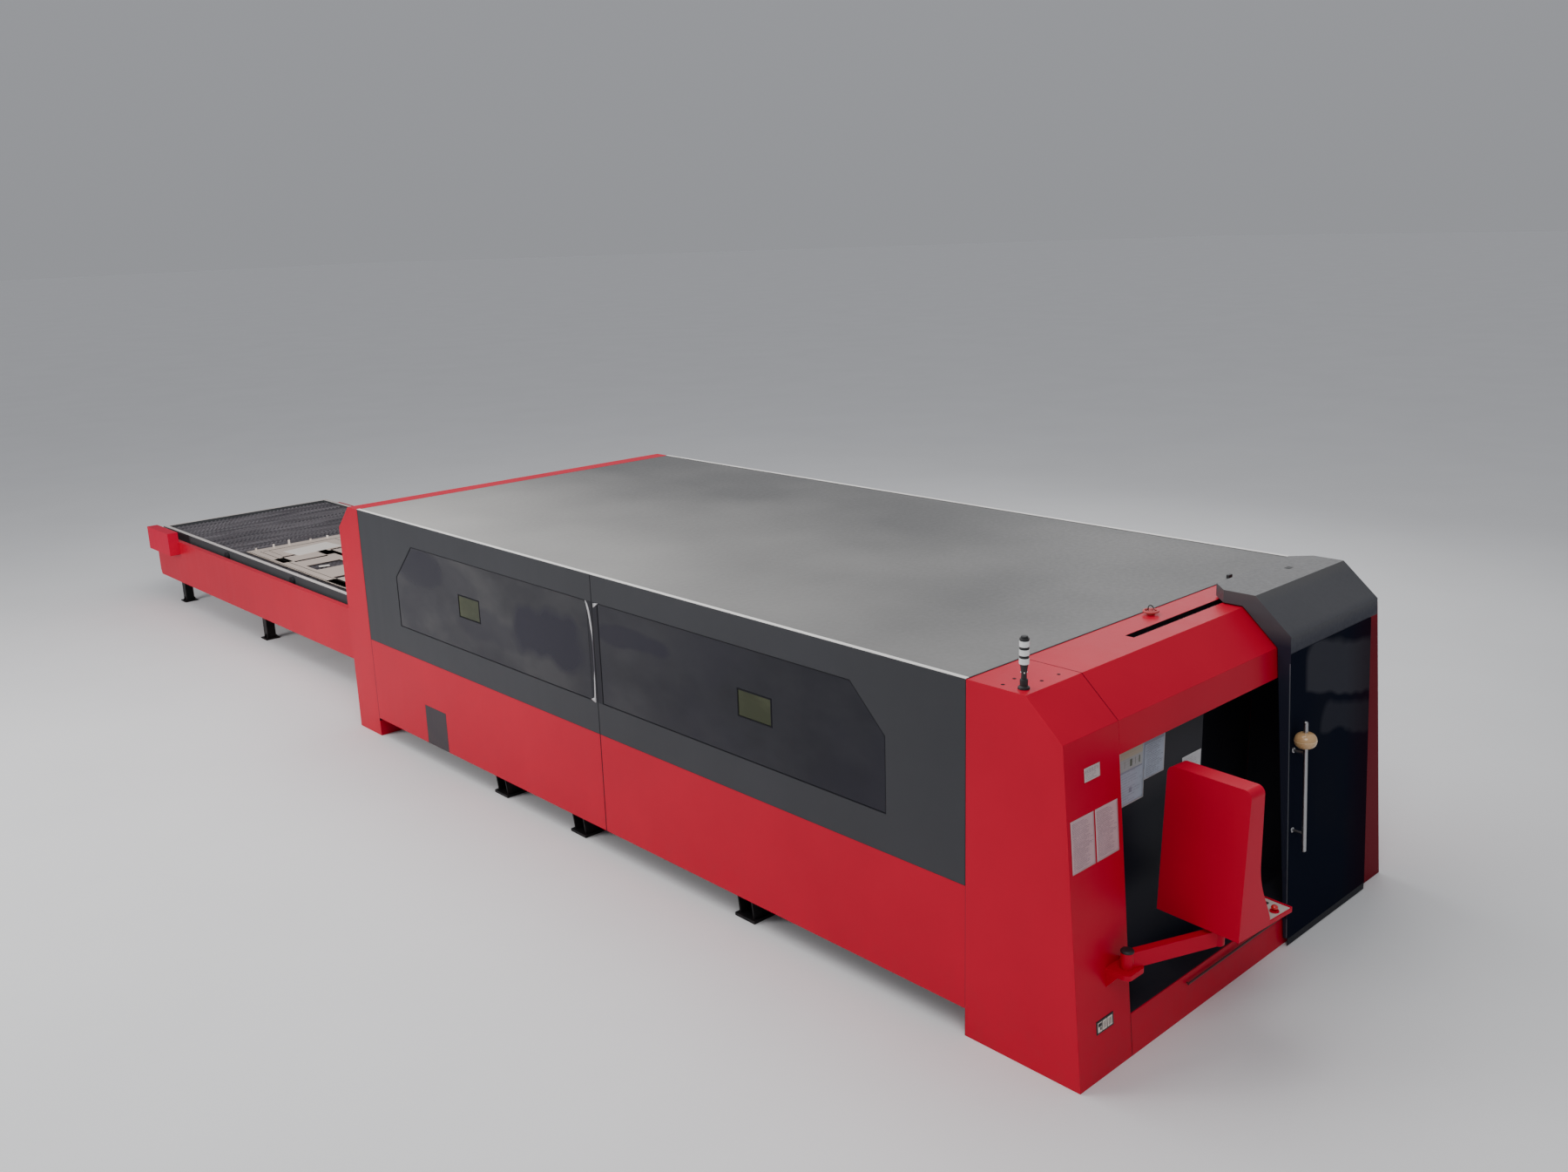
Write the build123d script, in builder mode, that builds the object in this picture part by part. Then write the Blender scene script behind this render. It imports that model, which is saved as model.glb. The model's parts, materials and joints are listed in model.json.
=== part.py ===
from build123d import *
import math
import os

os.makedirs("parts", exist_ok=True)

# Overall body: millimetres, +X across, +Y from the front cabinet to the exchange table, +Z up
machine_width = 3628.0
machine_height = 2200.0
enclosure_length = 7162.0
table_length = 6676.0
running_gap = 0.3
seat_gap = 0.2


# Front cabinet profile
cabinet_top_depth = 402.0
cabinet_brow_depth = 645.0
brow_drop = 217.5
cabinet_foot_depth = 808.0
column_width = 501.0
sill_height = 260.0
lintel_drop = 411.0
jamb_depth = 560.0
header_skin = 70.0
niche_width = 1033.0
doorway_width = 920.0
sheet = 20.0

# Guide rail of the sliding door
slot_centre_depth = 222.0
slot_width = 60.0
slot_depth = 45.0
slot_start = 740.0
slot_margin = 194.0
guide_rail_width = 12.0
guide_rail_height = 25.0
guide_rod_height = 210.0
guide_rod_start = 574.0
guide_rod_radius = 7.0
guide_rod_standoff = 16.0
rod_post_inset = 10.0
rod_post_radius = 5.0

# Sliding door
door_width = 1187.0
door_margin = 222.0
hood_rear_depth = 150.0
hood_rise = 92.0
hood_front_depth = 488.0
hood_brow_depth = 738.0
hood_brow_drop = 127.0
hood_lip_drop = 238.0
door_foot_depth = 840.0
door_foot_height = 55.0
door_wall = 6.0
hood_overhang = 100.0
hood_corner = 120.0
door_gap = 9.0
door_panel_thickness = 5.0
handle_offset = 42.0
handle_standoff = 78.0
handle_low = 680.0
handle_high = 1530.0
handle_radius = 14.0
handle_foot_radius = 9.0
handle_foot_low = 795.0
handle_foot_high = 1330.0
grip_height = 104.0
grip_radius = 70.0
grip_centre = 1415.0
grip_shoulder = 28.0
grip_round = 34.0
roller_radius = 20.0
roller_width = 12.0
roller_inset = 110.0
roller_stem_radius = 9.0

# Enclosure panels
panel_thickness = 25.0
skirt_bottom = 178.0
skirt_top = 962.0
side_seam = 3521.0
panel_joint = 4.0
window_thickness = 8.0
window_inset = 3.0
window_sill = 251.0
window_drop = 206.0
front_window_start = 607.0
window_seam_gap = 61.0
front_window_cut = 284.0
rear_window_margin = 632.0
rear_window_cut = 322.0
sight_glass_length = 325.0
sight_glass_height = 190.0
front_sight_inset = 993.0
rear_sight_inset = 1555.0
hatch_margin = 1295.0
hatch_length = 363.0
hatch_height = 362.0
hatch_thickness = 6.0
roof_thickness = 26.0
roof_trim_width = 28.0
roof_trim_height = 4.0

# Inner frame and bed
frame_tube = 60.0
post_offset = 30.0
bed_bottom = 200.0
bed_top = 900.0
bed_front_gap = 60.0
bed_end_gap = 40.0
bed_wall = 14.0
cross_member_height = 180.0
cross_member_width = 160.0
cross_member_count = 5
gantry_rail_width = 34.0
gantry_rail_height = 30.0
rack_width = 28.0
rack_height = 26.0

# Machine feet
foot_plate_width = 200.0
foot_plate_thickness = 22.0
foot_margin = 24.0
foot_web = 12.0
foot_web_reach = 165.0
foot_web_spread = 140.0
foot_web_taper = 22.0
foot_screw_radius = 13.0
foot_nut_radius = 24.0
foot_nut_height = 18.0
foot_positions = [1970.0, 3950.0, 5080.0]

# Rear portal
portal_depth = 412.0
portal_top_depth = 187.0
portal_brow_drop = 220.0
portal_opening_bottom = 290.0
portal_opening_top = 1400.0

# Exchange table
table_beam_thickness = 60.0
table_beam_bottom = 312.0
table_beam_top = 865.0
table_beam_cut = 60.0
table_cross_count = 5
table_cross_pitch = 1275.0
table_cross_inset = 500.0
table_cross_height = 100.0
table_cross_width = 80.0
table_leg_members = [0, 2]
table_leg_width = 100.0
table_leg_plate = 165.0
table_leg_plate_thickness = 14.0
table_leg_margin = 30.0
table_gusset = 10.0
table_gusset_height = 70.0
guard_width = 130.0
guard_length = 720.0
guard_inset = 100.0
guard_bottom = 700.0
guard_top = 990.0
guard_wall = 10.0

# Pallets and their rails
pallet_margin = 664.0
pallet_top = 915.0
pallet_pitch = 265.0
pallet_depth = 120.0
pallet_tube = 60.0
pallet_overhang = 120.0
pallet_setback = 616.0
pallet_clearance = 90.0
pallet_inner_start = 560.0
pallet_wheel_radius = 45.0
pallet_wheel_width = 30.0
pallet_wheel_drop = 65.0
pallet_axle_radius = 12.0
pallet_wheel_count = 4
pallet_wheel_inset = 300.0
wheel_gap = 3.0
rail_ledge_thickness = 12.0
rail_web_height = 60.0
rail_clearance = 6.0
pallet_bearer_count = 3
pallet_bearer_width = 40.0
pallet_bearer_height = 40.0
slat_count = 30
slat_thickness = 5.0
slat_height = 70.0
slat_tooth_count = 6
slat_tooth_height = 18.0
slat_drop = 8.0

# Workpiece lying on the slats
blank_inset = 70.0
blank_length = 3700.0
blank_margin = 130.0
blank_thickness = 5.0

# Pallet drive under the table
drive_inset = 726.0
drive_shaft_radius = 20.0
drive_sprocket_radius = 58.0
drive_sprocket_width = 14.0
drive_height = 392.0
motor_radius = 75.0
motor_length = 215.0
gearbox_size = 150.0
gearbox_height = 135.0

# Gantry, head carriage and cutting head
gantry_rest = 900.0
gantry_depth = 260.0
gantry_bottom = 1110.0
gantry_height = 260.0
truck_length = 420.0
truck_width = 210.0
truck_plate = 60.0
beam_rail_width = 22.0
beam_rail_height = 16.0
beam_rail_inset = 40.0
carriage_width = 300.0
carriage_thickness = 30.0
carriage_park = 330.0
slide_width = 160.0
slide_thickness = 40.0
slide_height = 420.0
slide_bottom = 1080.0
head_radius = 42.0
head_tip_height = 1010.0
head_length = 250.0
head_cone_height = 55.0
head_neck_start = 180.0
head_neck_radius = 34.0
nozzle_height = 36.0
nozzle_radius = 14.0
nozzle_cone_height = 22.0
nozzle_tip_radius = 4.0
nozzle_bore = 2.0

# Operator console on its arm
arm_pivot_inset = 137.0
arm_pivot_depth = 838.0
arm_reach = 570.0
swivel_depth = 1060.0
bracket_plate_height = 602.0
bracket_plate_thickness = 30.0
bracket_plate_half = 85.0
bracket_plate_reach = 70.0
knuckle_radius = 36.0
arm_height = 95.0
arm_width = 50.0
pivot_pin_radius = 14.0
pivot_cap_radius = 38.0
pivot_cap_height = 16.0
swivel_pin_radius = 20.0
console_yaw = -4.0
console_bottom = 756.0
console_top = 1630.0
console_half_width = 268.0
console_shift = 70.0
console_back = 110.0
console_top_lean = 48.0
console_top_thickness = 125.0
console_foot_reach = 190.0
console_foot_height = 46.0
console_waist = 1180.0
console_waist_reach = 64.0
console_flare = 0.35
console_corner = 46.0
console_bore_depth = 60.0
tray_reach = 225.0
tray_thickness = 26.0
tray_lip = 10.0
tray_lip_height = 8.0
screen_width = 430.0
screen_height = 270.0
screen_bottom = 1265.0
screen_thickness = 8.0
keyboard_width = 360.0
keyboard_depth = 120.0
keyboard_thickness = 14.0
stop_radius = 20.0
stop_collar_radius = 27.0
stop_collar_height = 10.0
stop_height = 26.0
stop_travel = 5.0
stop_offset = 225.0
stop_stem_radius = 9.0
stop_stem_length = 26.0

# Signal tower, lifting eye, outlets and posted sheets
tower_margin = 84.0
tower_depth = 327.0
tower_base_radius = 33.0
tower_base_height = 15.0
tower_barrel_radius = 22.0
tower_barrel_height = 40.0
tower_neck_radius = 15.0
tower_neck_height = 40.0
tower_head_height = 44.0
lens_radius = 28.0
lens_height = 38.0
lens_count = 3
ring_radius = 25.0
ring_height = 10.0
cap_radius = 20.0
cap_height = 12.0
eye_place = 1720.0
eye_depth = 61.0
eye_radius = 44.0
eye_wire = 8.0
eye_pin_radius = 6.0
eye_lift = 22.0
eye_base_radius = 26.0
eye_base_height = 26.0
eye_bolt_radius = 12.0
eye_bolt_height = 38.0
socket_margin = 173.0
socket_width = 164.0
socket_bottom = 271.0
socket_height = 80.0
socket_thickness = 9.0
a4_width = 210.0
a4_height = 297.0
paper_thickness = 1.0
notice_margin = 27.0
notice_step = 222.0
notice_drop = 942.0
card_margin = 168.0
card_width = 143.0
card_height = 77.0
card_drop = 470.0
niche_sheet_margin = 23.0
niche_sheet_width = 383.0
niche_sheet_height = 353.0
niche_sheet_drop = 19.0
niche_wide_width = 207.0
niche_wide_height = 210.0
niche_notice_place = 778.0
niche_notice_drop = 214.0

# Derived places: the origin is under the middle of the whole length, from tray tip to pallet end
half_width = machine_width / 2
column_inner = half_width - column_width
panel_inner = half_width - panel_thickness
pallet_half_width = half_width - pallet_margin
bed_inner = pallet_half_width + pallet_clearance
rail_inner = pallet_half_width + rail_clearance
table_outer = bed_inner + table_beam_thickness
table_end = enclosure_length + portal_depth + table_length
rear_reach = table_end + pallet_overhang
pallet_length = table_length + pallet_overhang - pallet_setback
cabinet_brow_height = machine_height - brow_drop
lintel_height = machine_height - lintel_drop
niche_panel_right = niche_width - column_inner
doorway_right = niche_panel_right + doorway_width
console_turn = math.radians(-console_yaw)
console_start = console_shift - console_half_width
console_end = console_shift + console_half_width
tray_end = console_foot_reach + tray_reach
tray_tip = tray_end * math.sin(console_turn) - console_start * math.cos(console_turn)
front_reach = swivel_depth + tray_tip
junction_y = -(rear_reach - front_reach) / 2
portal_y = junction_y + enclosure_length
face_slope = (cabinet_foot_depth - cabinet_brow_depth) / cabinet_brow_height
roof_underside = machine_height - roof_thickness


def face_y(height, proud=0.0):
    """Y of the slanted front face at a height, moved outwards by proud."""
    return junction_y - cabinet_foot_depth + face_slope * height - proud


def block(x, y, z, mode=Mode.ADD):
    """A box between two limits on each axis, added to the part being built."""
    with Locations((x[0], y[0], z[0])):
        Box(x[1] - x[0], y[1] - y[0], z[1] - z[0], align=(Align.MIN, Align.MIN, Align.MIN), mode=mode)


def side_prism(points, x0, x1, mode=Mode.ADD):
    """A profile of (y, z) points, extruded along X from x0 to x1."""
    with BuildSketch(Plane.YZ.offset(x0)) as profile:
        with BuildLine():
            Polyline(*points, close=True)
        make_face()
    extrude(profile.sketch, amount=x1 - x0, dir=(1, 0, 0), mode=mode)


def rod(start, end, radius, mode=Mode.ADD):
    """A round bar between two points."""
    along = Vector(*end) - Vector(*start)
    with BuildSketch(Plane(origin=start, z_dir=along)) as section:
        Circle(radius)
    extrude(section.sketch, amount=along.length, dir=along.normalized(), mode=mode)


def hexagon(start, end, radius):
    """A hexagonal bar between two points, its radius taken over the corners."""
    along = Vector(*end) - Vector(*start)
    with BuildSketch(Plane(origin=start, z_dir=along)) as section:
        RegularPolygon(radius, 6)
    extrude(section.sketch, amount=along.length, dir=along.normalized())


def save(piece, node):
    """Labels a finished piece and writes it to its own file."""
    piece.part.label = node
    export_step(piece.part, "parts/" + node + ".step")


# Front cabinet: two columns, a header over the opening and a sill under it
column_profile = [
    (junction_y, 0),
    (junction_y, machine_height),
    (junction_y - cabinet_top_depth, machine_height),
    (junction_y - cabinet_brow_depth, cabinet_brow_height),
    (face_y(0), 0),
]
slot_y = junction_y - slot_centre_depth
slot_floor = machine_height - slot_depth
slot_left = slot_start - column_inner
slot_right = half_width - slot_margin
socket_left = socket_margin - half_width


def door_slot(x0, x1):
    """Cuts the guide slot of the door along the top of the cabinet."""
    across = (slot_y - slot_width / 2, slot_y + slot_width / 2)
    block((x0, x1), across, (slot_floor, machine_height + 1), Mode.SUBTRACT)


with BuildPart() as front_left_column:
    side_prism(column_profile, -half_width, -column_inner)
    block(
        (socket_left, socket_left + socket_width),
        (face_y(0) - 1, face_y(socket_bottom) + socket_thickness * 2),
        (socket_bottom, socket_bottom + socket_height),
        Mode.SUBTRACT,
    )
save(front_left_column, "front_left_column")

with BuildPart() as front_right_column:
    side_prism(column_profile, column_inner, half_width)
    door_slot(column_inner - 1, slot_right)
save(front_right_column, "front_right_column")

header_profile = [
    (junction_y, machine_height),
    (junction_y - cabinet_top_depth, machine_height),
    (junction_y - cabinet_brow_depth, cabinet_brow_height),
    (face_y(lintel_height), lintel_height),
    (junction_y - jamb_depth, lintel_height),
    (junction_y - jamb_depth, cabinet_brow_height - header_skin / 2),
    (junction_y - cabinet_top_depth + header_skin / 2, machine_height - header_skin),
    (junction_y, machine_height - header_skin),
]
with BuildPart() as front_header:
    side_prism(header_profile, -column_inner, column_inner)
    door_slot(slot_left, column_inner + 1)
save(front_header, "front_header")

sill_profile = [
    (junction_y - jamb_depth, 0),
    (junction_y - jamb_depth, sill_height),
    (face_y(sill_height), sill_height),
    (face_y(0), 0),
]
with BuildPart() as front_sill:
    side_prism(sill_profile, -column_inner, column_inner)
save(front_sill, "front_sill")

# Fixed dark panel behind the console, and the wall between cabinet and cutting space
with BuildPart() as niche_panel:
    block(
        (-column_inner, niche_panel_right),
        (junction_y - jamb_depth, junction_y - jamb_depth + sheet),
        (0, lintel_height + header_skin),
    )
save(niche_panel, "niche_panel")

partition_y = junction_y - sheet
with BuildPart() as partition_wall:
    block((-column_inner, column_inner), (partition_y, junction_y), (0, machine_height - header_skin))
    block(
        (niche_panel_right, doorway_right),
        (partition_y - 1, junction_y + 1),
        (sill_height, lintel_height),
        Mode.SUBTRACT,
    )
save(partition_wall, "partition_wall")

# Door guides: a rail in the slot and a rod in front of the sill
with BuildPart() as door_guide_rail:
    block(
        (slot_left, slot_right),
        (slot_y - guide_rail_width / 2, slot_y + guide_rail_width / 2),
        (slot_floor, slot_floor + guide_rail_height),
    )
save(door_guide_rail, "door_guide_rail")

rod_y = face_y(guide_rod_height, guide_rod_standoff)
guide_rod_left = guide_rod_start - column_inner
with BuildPart() as door_guide_rod:
    rod((guide_rod_left, rod_y, guide_rod_height), (column_inner, rod_y, guide_rod_height), guide_rod_radius)
    for x in (guide_rod_left + rod_post_inset, column_inner - rod_post_inset):
        post_start = (x, face_y(guide_rod_height), guide_rod_height)
        rod(post_start, (x, rod_y, guide_rod_height), rod_post_radius)
    side_prism(sill_profile, -column_inner, column_inner, Mode.SUBTRACT)
save(door_guide_rod, "door_guide_rod")

# Sliding door: a folded shell with a hood, open at the back
door_right = half_width - door_margin
door_left = door_right - door_width
leaf_right = door_right - hood_overhang
hood_top_height = machine_height + hood_rise
hood_brow_height = machine_height - hood_brow_drop
hood_lip_height = machine_height - hood_lip_drop
front_top = junction_y - hood_front_depth
brow_y = junction_y - hood_brow_depth
leaf_slope = (door_foot_depth - hood_brow_depth) / (hood_brow_height - door_foot_height)
chamfer_slope = (machine_height - cabinet_brow_height) / (cabinet_brow_depth - cabinet_top_depth)
chamfer_angle = math.atan(chamfer_slope)


def leaf_y(height, proud=0.0):
    """Y of the outer face of the door's frame at a height, moved outwards by proud."""
    return brow_y - leaf_slope * (hood_brow_height - height) - proud


hood_rear_y = junction_y - hood_rear_depth
back_brow_z = cabinet_brow_height + door_gap * math.tan(chamfer_angle / 2)
back_top_y = junction_y - cabinet_top_depth - door_gap * math.tan(chamfer_angle / 2)
door_back = [
    (hood_rear_y, machine_height + door_gap),
    (back_top_y, machine_height + door_gap),
    (face_y(back_brow_z, door_gap), back_brow_z),
    (face_y(door_foot_height, door_gap), door_foot_height),
]
door_front = [
    (leaf_y(door_foot_height), door_foot_height),
    (leaf_y(hood_brow_height), hood_brow_height),
    (front_top, hood_top_height),
    (hood_rear_y, hood_top_height),
]
door_cavity = [
    (hood_rear_y - door_wall, machine_height),
    (back_top_y, machine_height),
    (face_y(back_brow_z), back_brow_z),
    (face_y(door_foot_height + door_wall), door_foot_height + door_wall),
    (leaf_y(door_foot_height + door_wall, -door_wall), door_foot_height + door_wall),
    (leaf_y(hood_brow_height, -door_wall), hood_brow_height - door_wall / 2),
    (front_top + door_wall / 2, hood_top_height - door_wall),
    (hood_rear_y - door_wall, hood_top_height - door_wall),
]
door_depths = (door_front[0][0], junction_y)


def cut_hood_corners(reach):
    """Cuts both rear corners of the hood at 45 degrees, reach being the cut's length along each edge."""
    for side, edge_x in ((-1, door_left), (1, door_right)):
        with BuildSketch(Plane.XY) as corner_cut:
            with BuildLine():
                Polyline(
                    (edge_x + side, hood_rear_y - reach - 1),
                    (edge_x - side * (reach + 1), hood_rear_y + 1),
                    (edge_x + side, hood_rear_y + 1),
                    close=True,
                )
            make_face()
        extrude(corner_cut.sketch, amount=hood_top_height + 1, mode=Mode.SUBTRACT)


with BuildPart() as door_hollow:
    side_prism(door_cavity, door_left + door_wall, door_right - door_wall)
    cut_hood_corners(hood_corner + door_wall * math.sqrt(2))
    block((leaf_right - door_wall, door_right), door_depths, (0, hood_lip_height + door_wall), Mode.SUBTRACT)

with BuildPart() as door_frame:
    side_prism(door_back + door_front, door_left, door_right)
    cut_hood_corners(hood_corner)
    block((leaf_right, door_right + 1), door_depths, (0, hood_lip_height), Mode.SUBTRACT)
    add(door_hollow.part, mode=Mode.SUBTRACT)
    rod_clearance = guide_rod_radius + door_gap
    block(
        (door_left - 1, door_right + 1),
        (rod_y - rod_clearance, rod_y + rod_clearance * 2),
        (guide_rod_height - rod_clearance, guide_rod_height + rod_clearance),
        Mode.SUBTRACT,
    )
save(door_frame, "door_frame")

door_panel_profile = [
    (leaf_y(door_foot_height), door_foot_height),
    (leaf_y(hood_lip_height), hood_lip_height),
    (leaf_y(hood_lip_height, door_panel_thickness), hood_lip_height),
    (leaf_y(door_foot_height, door_panel_thickness), door_foot_height),
]
with BuildPart() as door_panel:
    side_prism(door_panel_profile, door_left, leaf_right)
save(door_panel, "door_panel")

handle_x = door_left + handle_offset


def handle_point(height, proud):
    """A point in front of the door's panel, over the handle's line."""
    return (handle_x, leaf_y(height, door_panel_thickness + proud), height)


with BuildPart() as door_handle:
    rod(handle_point(handle_low, handle_standoff), handle_point(handle_high, handle_standoff), handle_radius)
    for height in (handle_foot_low, handle_foot_high):
        rod(handle_point(height, 0), handle_point(height, handle_standoff), handle_foot_radius)
    side_prism(door_panel_profile, door_left, leaf_right, Mode.SUBTRACT)
save(door_handle, "door_handle")

handle_foot = Vector(*handle_point(handle_low, handle_standoff))
grip_axis = Vector(*handle_point(handle_high, handle_standoff)) - handle_foot
grip_middle = Vector(*handle_point(grip_centre, handle_standoff))
grip_base = grip_middle - grip_axis.normalized() * (grip_height / 2)
with BuildPart() as handle_grip:
    with BuildSketch(Plane(origin=grip_base, x_dir=(1, 0, 0), z_dir=grip_axis)):
        Circle(grip_radius)
        Circle(handle_radius + seat_gap, mode=Mode.SUBTRACT)
    extrude(amount=grip_height)
    rims = handle_grip.edges().filter_by(GeomType.CIRCLE).group_by(SortBy.RADIUS)[-1]
    chamfer(rims, length=grip_shoulder, length2=grip_round)
save(handle_grip, "handle_grip")

roller_z = slot_floor + guide_rail_height + roller_radius + running_gap
roller_positions = [door_left + roller_inset, door_right - roller_inset]
with BuildPart() as door_rollers:
    for x in roller_positions:
        rod((x, slot_y - roller_width / 2, roller_z), (x, slot_y + roller_width / 2, roller_z), roller_radius)
        rod((x, slot_y, roller_z), (x, slot_y, hood_top_height - door_wall), roller_stem_radius)
save(door_rollers, "door_rollers")


# Enclosure: red skirts below, grey panels with inset windows above, on both sides
def panel_span(rear):
    """Y limits of the front or rear panel of a side."""
    seam = junction_y + side_seam
    if rear:
        return seam + panel_joint / 2, portal_y
    return junction_y, seam - panel_joint / 2


def side_span(side):
    """X limits of a side panel: side is -1 on the left and 1 on the right."""
    return (-half_width, -panel_inner) if side < 0 else (panel_inner, half_width)


window_bottom = skirt_top + window_sill
window_top = machine_height - window_drop
front_window_end = side_seam - window_seam_gap
rear_window_start = side_seam + window_seam_gap
rear_window_end = enclosure_length - rear_window_margin
sight_glass_bottom = (window_bottom + window_top - sight_glass_height) / 2


def window_outline(rear):
    """(y, z) corners of a window: its upper corner away from the middle seam is cut."""
    if rear:
        start, end, cut = rear_window_start, rear_window_end, rear_window_cut
    else:
        start, end, cut = front_window_end, front_window_start, front_window_cut
    step = cut if rear else -cut
    return [
        (junction_y + start, window_bottom),
        (junction_y + end, window_bottom),
        (junction_y + end, window_top - cut),
        (junction_y + end - step, window_top),
        (junction_y + start, window_top),
    ]


def sight_limits(rear, clearance=0.0):
    """Y and Z limits of the small laser-safety glass, reduced by a clearance."""
    window_start = rear_window_start + rear_sight_inset if rear else front_window_start + front_sight_inset
    start = junction_y + window_start
    return (
        (start + clearance, start + sight_glass_length - clearance),
        (sight_glass_bottom + clearance, sight_glass_bottom + sight_glass_height - clearance),
    )


def window_solid(rear, x0, x1, clearance=0.0):
    """A window-shaped slab between x0 and x1, its outline drawn in by a clearance."""
    with BuildSketch(Plane.YZ.offset(x0)) as outline:
        with BuildLine():
            Polyline(*window_outline(rear), close=True)
        make_face()
        if clearance:
            offset(amount=-clearance, kind=Kind.INTERSECTION, mode=Mode.REPLACE)
    return extrude(outline.sketch, amount=x1 - x0, dir=(1, 0, 0), mode=Mode.PRIVATE)


hatch_y = portal_y - hatch_margin
hatch_span = (hatch_y, hatch_y + hatch_length)
for rear, end_name in ((False, "front"), (True, "rear")):
    y_span = panel_span(rear)
    with BuildPart() as skirts:
        for side in (-1, 1):
            block(side_span(side), y_span, (skirt_bottom, skirt_top - panel_joint / 2))
        if rear:
            block(
                (-half_width - 1, -half_width + hatch_thickness),
                hatch_span,
                (skirt_bottom - 1, skirt_bottom + hatch_height),
                Mode.SUBTRACT,
            )
    save(skirts, end_name + "_skirts")
    with BuildPart() as side_panels:
        for side in (-1, 1):
            x0, x1 = side_span(side)
            block((x0, x1), y_span, (skirt_top + panel_joint / 2, machine_height))
            add(window_solid(rear, x0 - 1, x1 + 1), mode=Mode.SUBTRACT)
    save(side_panels, end_name + "_side_panels")

with BuildPart() as side_windows:
    for side in (-1, 1):
        glass_outer = side * (half_width - window_inset)
        glass_x = sorted((glass_outer, glass_outer - side * window_thickness))
        for rear in (False, True):
            add(window_solid(rear, glass_x[0], glass_x[1], seat_gap))
            y_hole, z_hole = sight_limits(rear)
            block((glass_x[0] - 1, glass_x[1] + 1), y_hole, z_hole, Mode.SUBTRACT)
save(side_windows, "side_windows")

with BuildPart() as sight_glasses:
    for side in (-1, 1):
        outer = side * (half_width - window_inset - 1)
        inner = outer - side * (window_thickness - 2)
        for rear in (False, True):
            y_hole, z_hole = sight_limits(rear, seat_gap)
            block((min(outer, inner), max(outer, inner)), y_hole, z_hole)
save(sight_glasses, "sight_glasses")

with BuildPart() as hatch_plate:
    block(
        (-half_width, -half_width + hatch_thickness),
        (hatch_span[0] + seat_gap, hatch_span[1] - seat_gap),
        (skirt_bottom, skirt_bottom + hatch_height - seat_gap),
    )
save(hatch_plate, "hatch_plate")

with BuildPart() as roof_panel:
    block((-panel_inner, panel_inner), (junction_y, portal_y), (roof_underside, machine_height))
save(roof_panel, "roof_panel")

with BuildPart() as roof_trims:
    for x0, x1 in ((-half_width, -half_width + roof_trim_width), (half_width - roof_trim_width, half_width)):
        block((x0, x1), (junction_y, portal_y), (machine_height, machine_height + roof_trim_height))
save(roof_trims, "roof_trims")

# Inner frame: posts on the bed's flanks and roof beams between them
post_outer = panel_inner
post_inner = post_outer - frame_tube
post_starts = [
    junction_y + post_offset,
    junction_y + side_seam - frame_tube / 2,
    portal_y - post_offset - frame_tube,
]
with BuildPart() as enclosure_frame:
    for y in post_starts:
        for x0, x1 in ((-post_outer, -post_inner), (post_inner, post_outer)):
            block((x0, x1), (y, y + frame_tube), (bed_bottom, roof_underside))
        block((-post_inner, post_inner), (y, y + frame_tube), (roof_underside - frame_tube, roof_underside))
save(enclosure_frame, "enclosure_frame")

# Bed: two box beams tied by cross members
bed_span = (junction_y + bed_front_gap, portal_y - bed_end_gap)
cross_step = (bed_span[1] - bed_span[0] - cross_member_width) / (cross_member_count - 1)
with BuildPart() as machine_bed:
    for x0, x1 in ((-post_inner, -bed_inner), (bed_inner, post_inner)):
        block((x0, x1), bed_span, (bed_bottom, bed_top))
        block(
            (x0 + bed_wall, x1 - bed_wall),
            (bed_span[0] - 1, bed_span[1] + 1),
            (bed_bottom + bed_wall, bed_top - bed_wall),
            Mode.SUBTRACT,
        )
    for index in range(cross_member_count):
        y = bed_span[0] + index * cross_step
        cross_z = (bed_bottom, bed_bottom + cross_member_height)
        block((-bed_inner, bed_inner), (y, y + cross_member_width), cross_z)
save(machine_bed, "machine_bed")

gantry_rail_centre = (bed_inner + post_inner) / 2
with BuildPart() as gantry_rails:
    for centre in (-gantry_rail_centre, gantry_rail_centre):
        half = gantry_rail_width / 2
        block((centre - half, centre + half), bed_span, (bed_top, bed_top + gantry_rail_height))
    for side in (-1, 1):
        start = side * (gantry_rail_centre + gantry_rail_width / 2)
        end = start + side * rack_width
        block((min(start, end), max(start, end)), bed_span, (bed_top, bed_top + rack_height))
save(gantry_rails, "gantry_rails")

# Levelling feet: a floor plate, two tapered webs up to the bed and a screw between them
foot_outer = half_width - foot_margin
with BuildPart() as machine_feet:
    for side in (-1, 1):
        plate_x = sorted((side * foot_outer, side * (foot_outer - foot_plate_width)))
        centre_x = side * (foot_outer - foot_plate_width / 2)
        web_points = [
            (side * (panel_inner - seat_gap), bed_bottom),
            (side * (panel_inner - seat_gap - foot_web_reach), bed_bottom),
            (side * (panel_inner - foot_web_taper - foot_web_reach), foot_plate_thickness),
            (side * (panel_inner - foot_web_taper), foot_plate_thickness),
        ]
        for position in foot_positions:
            y = junction_y + position
            block(plate_x, (y - foot_plate_width / 2, y + foot_plate_width / 2), (0, foot_plate_thickness))
            for edge in (-1, 1):
                web_y = y + edge * foot_web_spread / 2
                with BuildSketch(Plane.XZ.offset(-web_y - foot_web / 2)) as web:
                    with BuildLine():
                        Polyline(*web_points, close=True)
                    make_face()
                extrude(web.sketch, amount=foot_web, dir=(0, -1, 0))
            nut_top = foot_plate_thickness + foot_nut_height
            hexagon((centre_x, y, foot_plate_thickness), (centre_x, y, nut_top), foot_nut_radius)
            rod((centre_x, y, nut_top), (centre_x, y, bed_bottom), foot_screw_radius)
save(machine_feet, "machine_feet")

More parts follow.
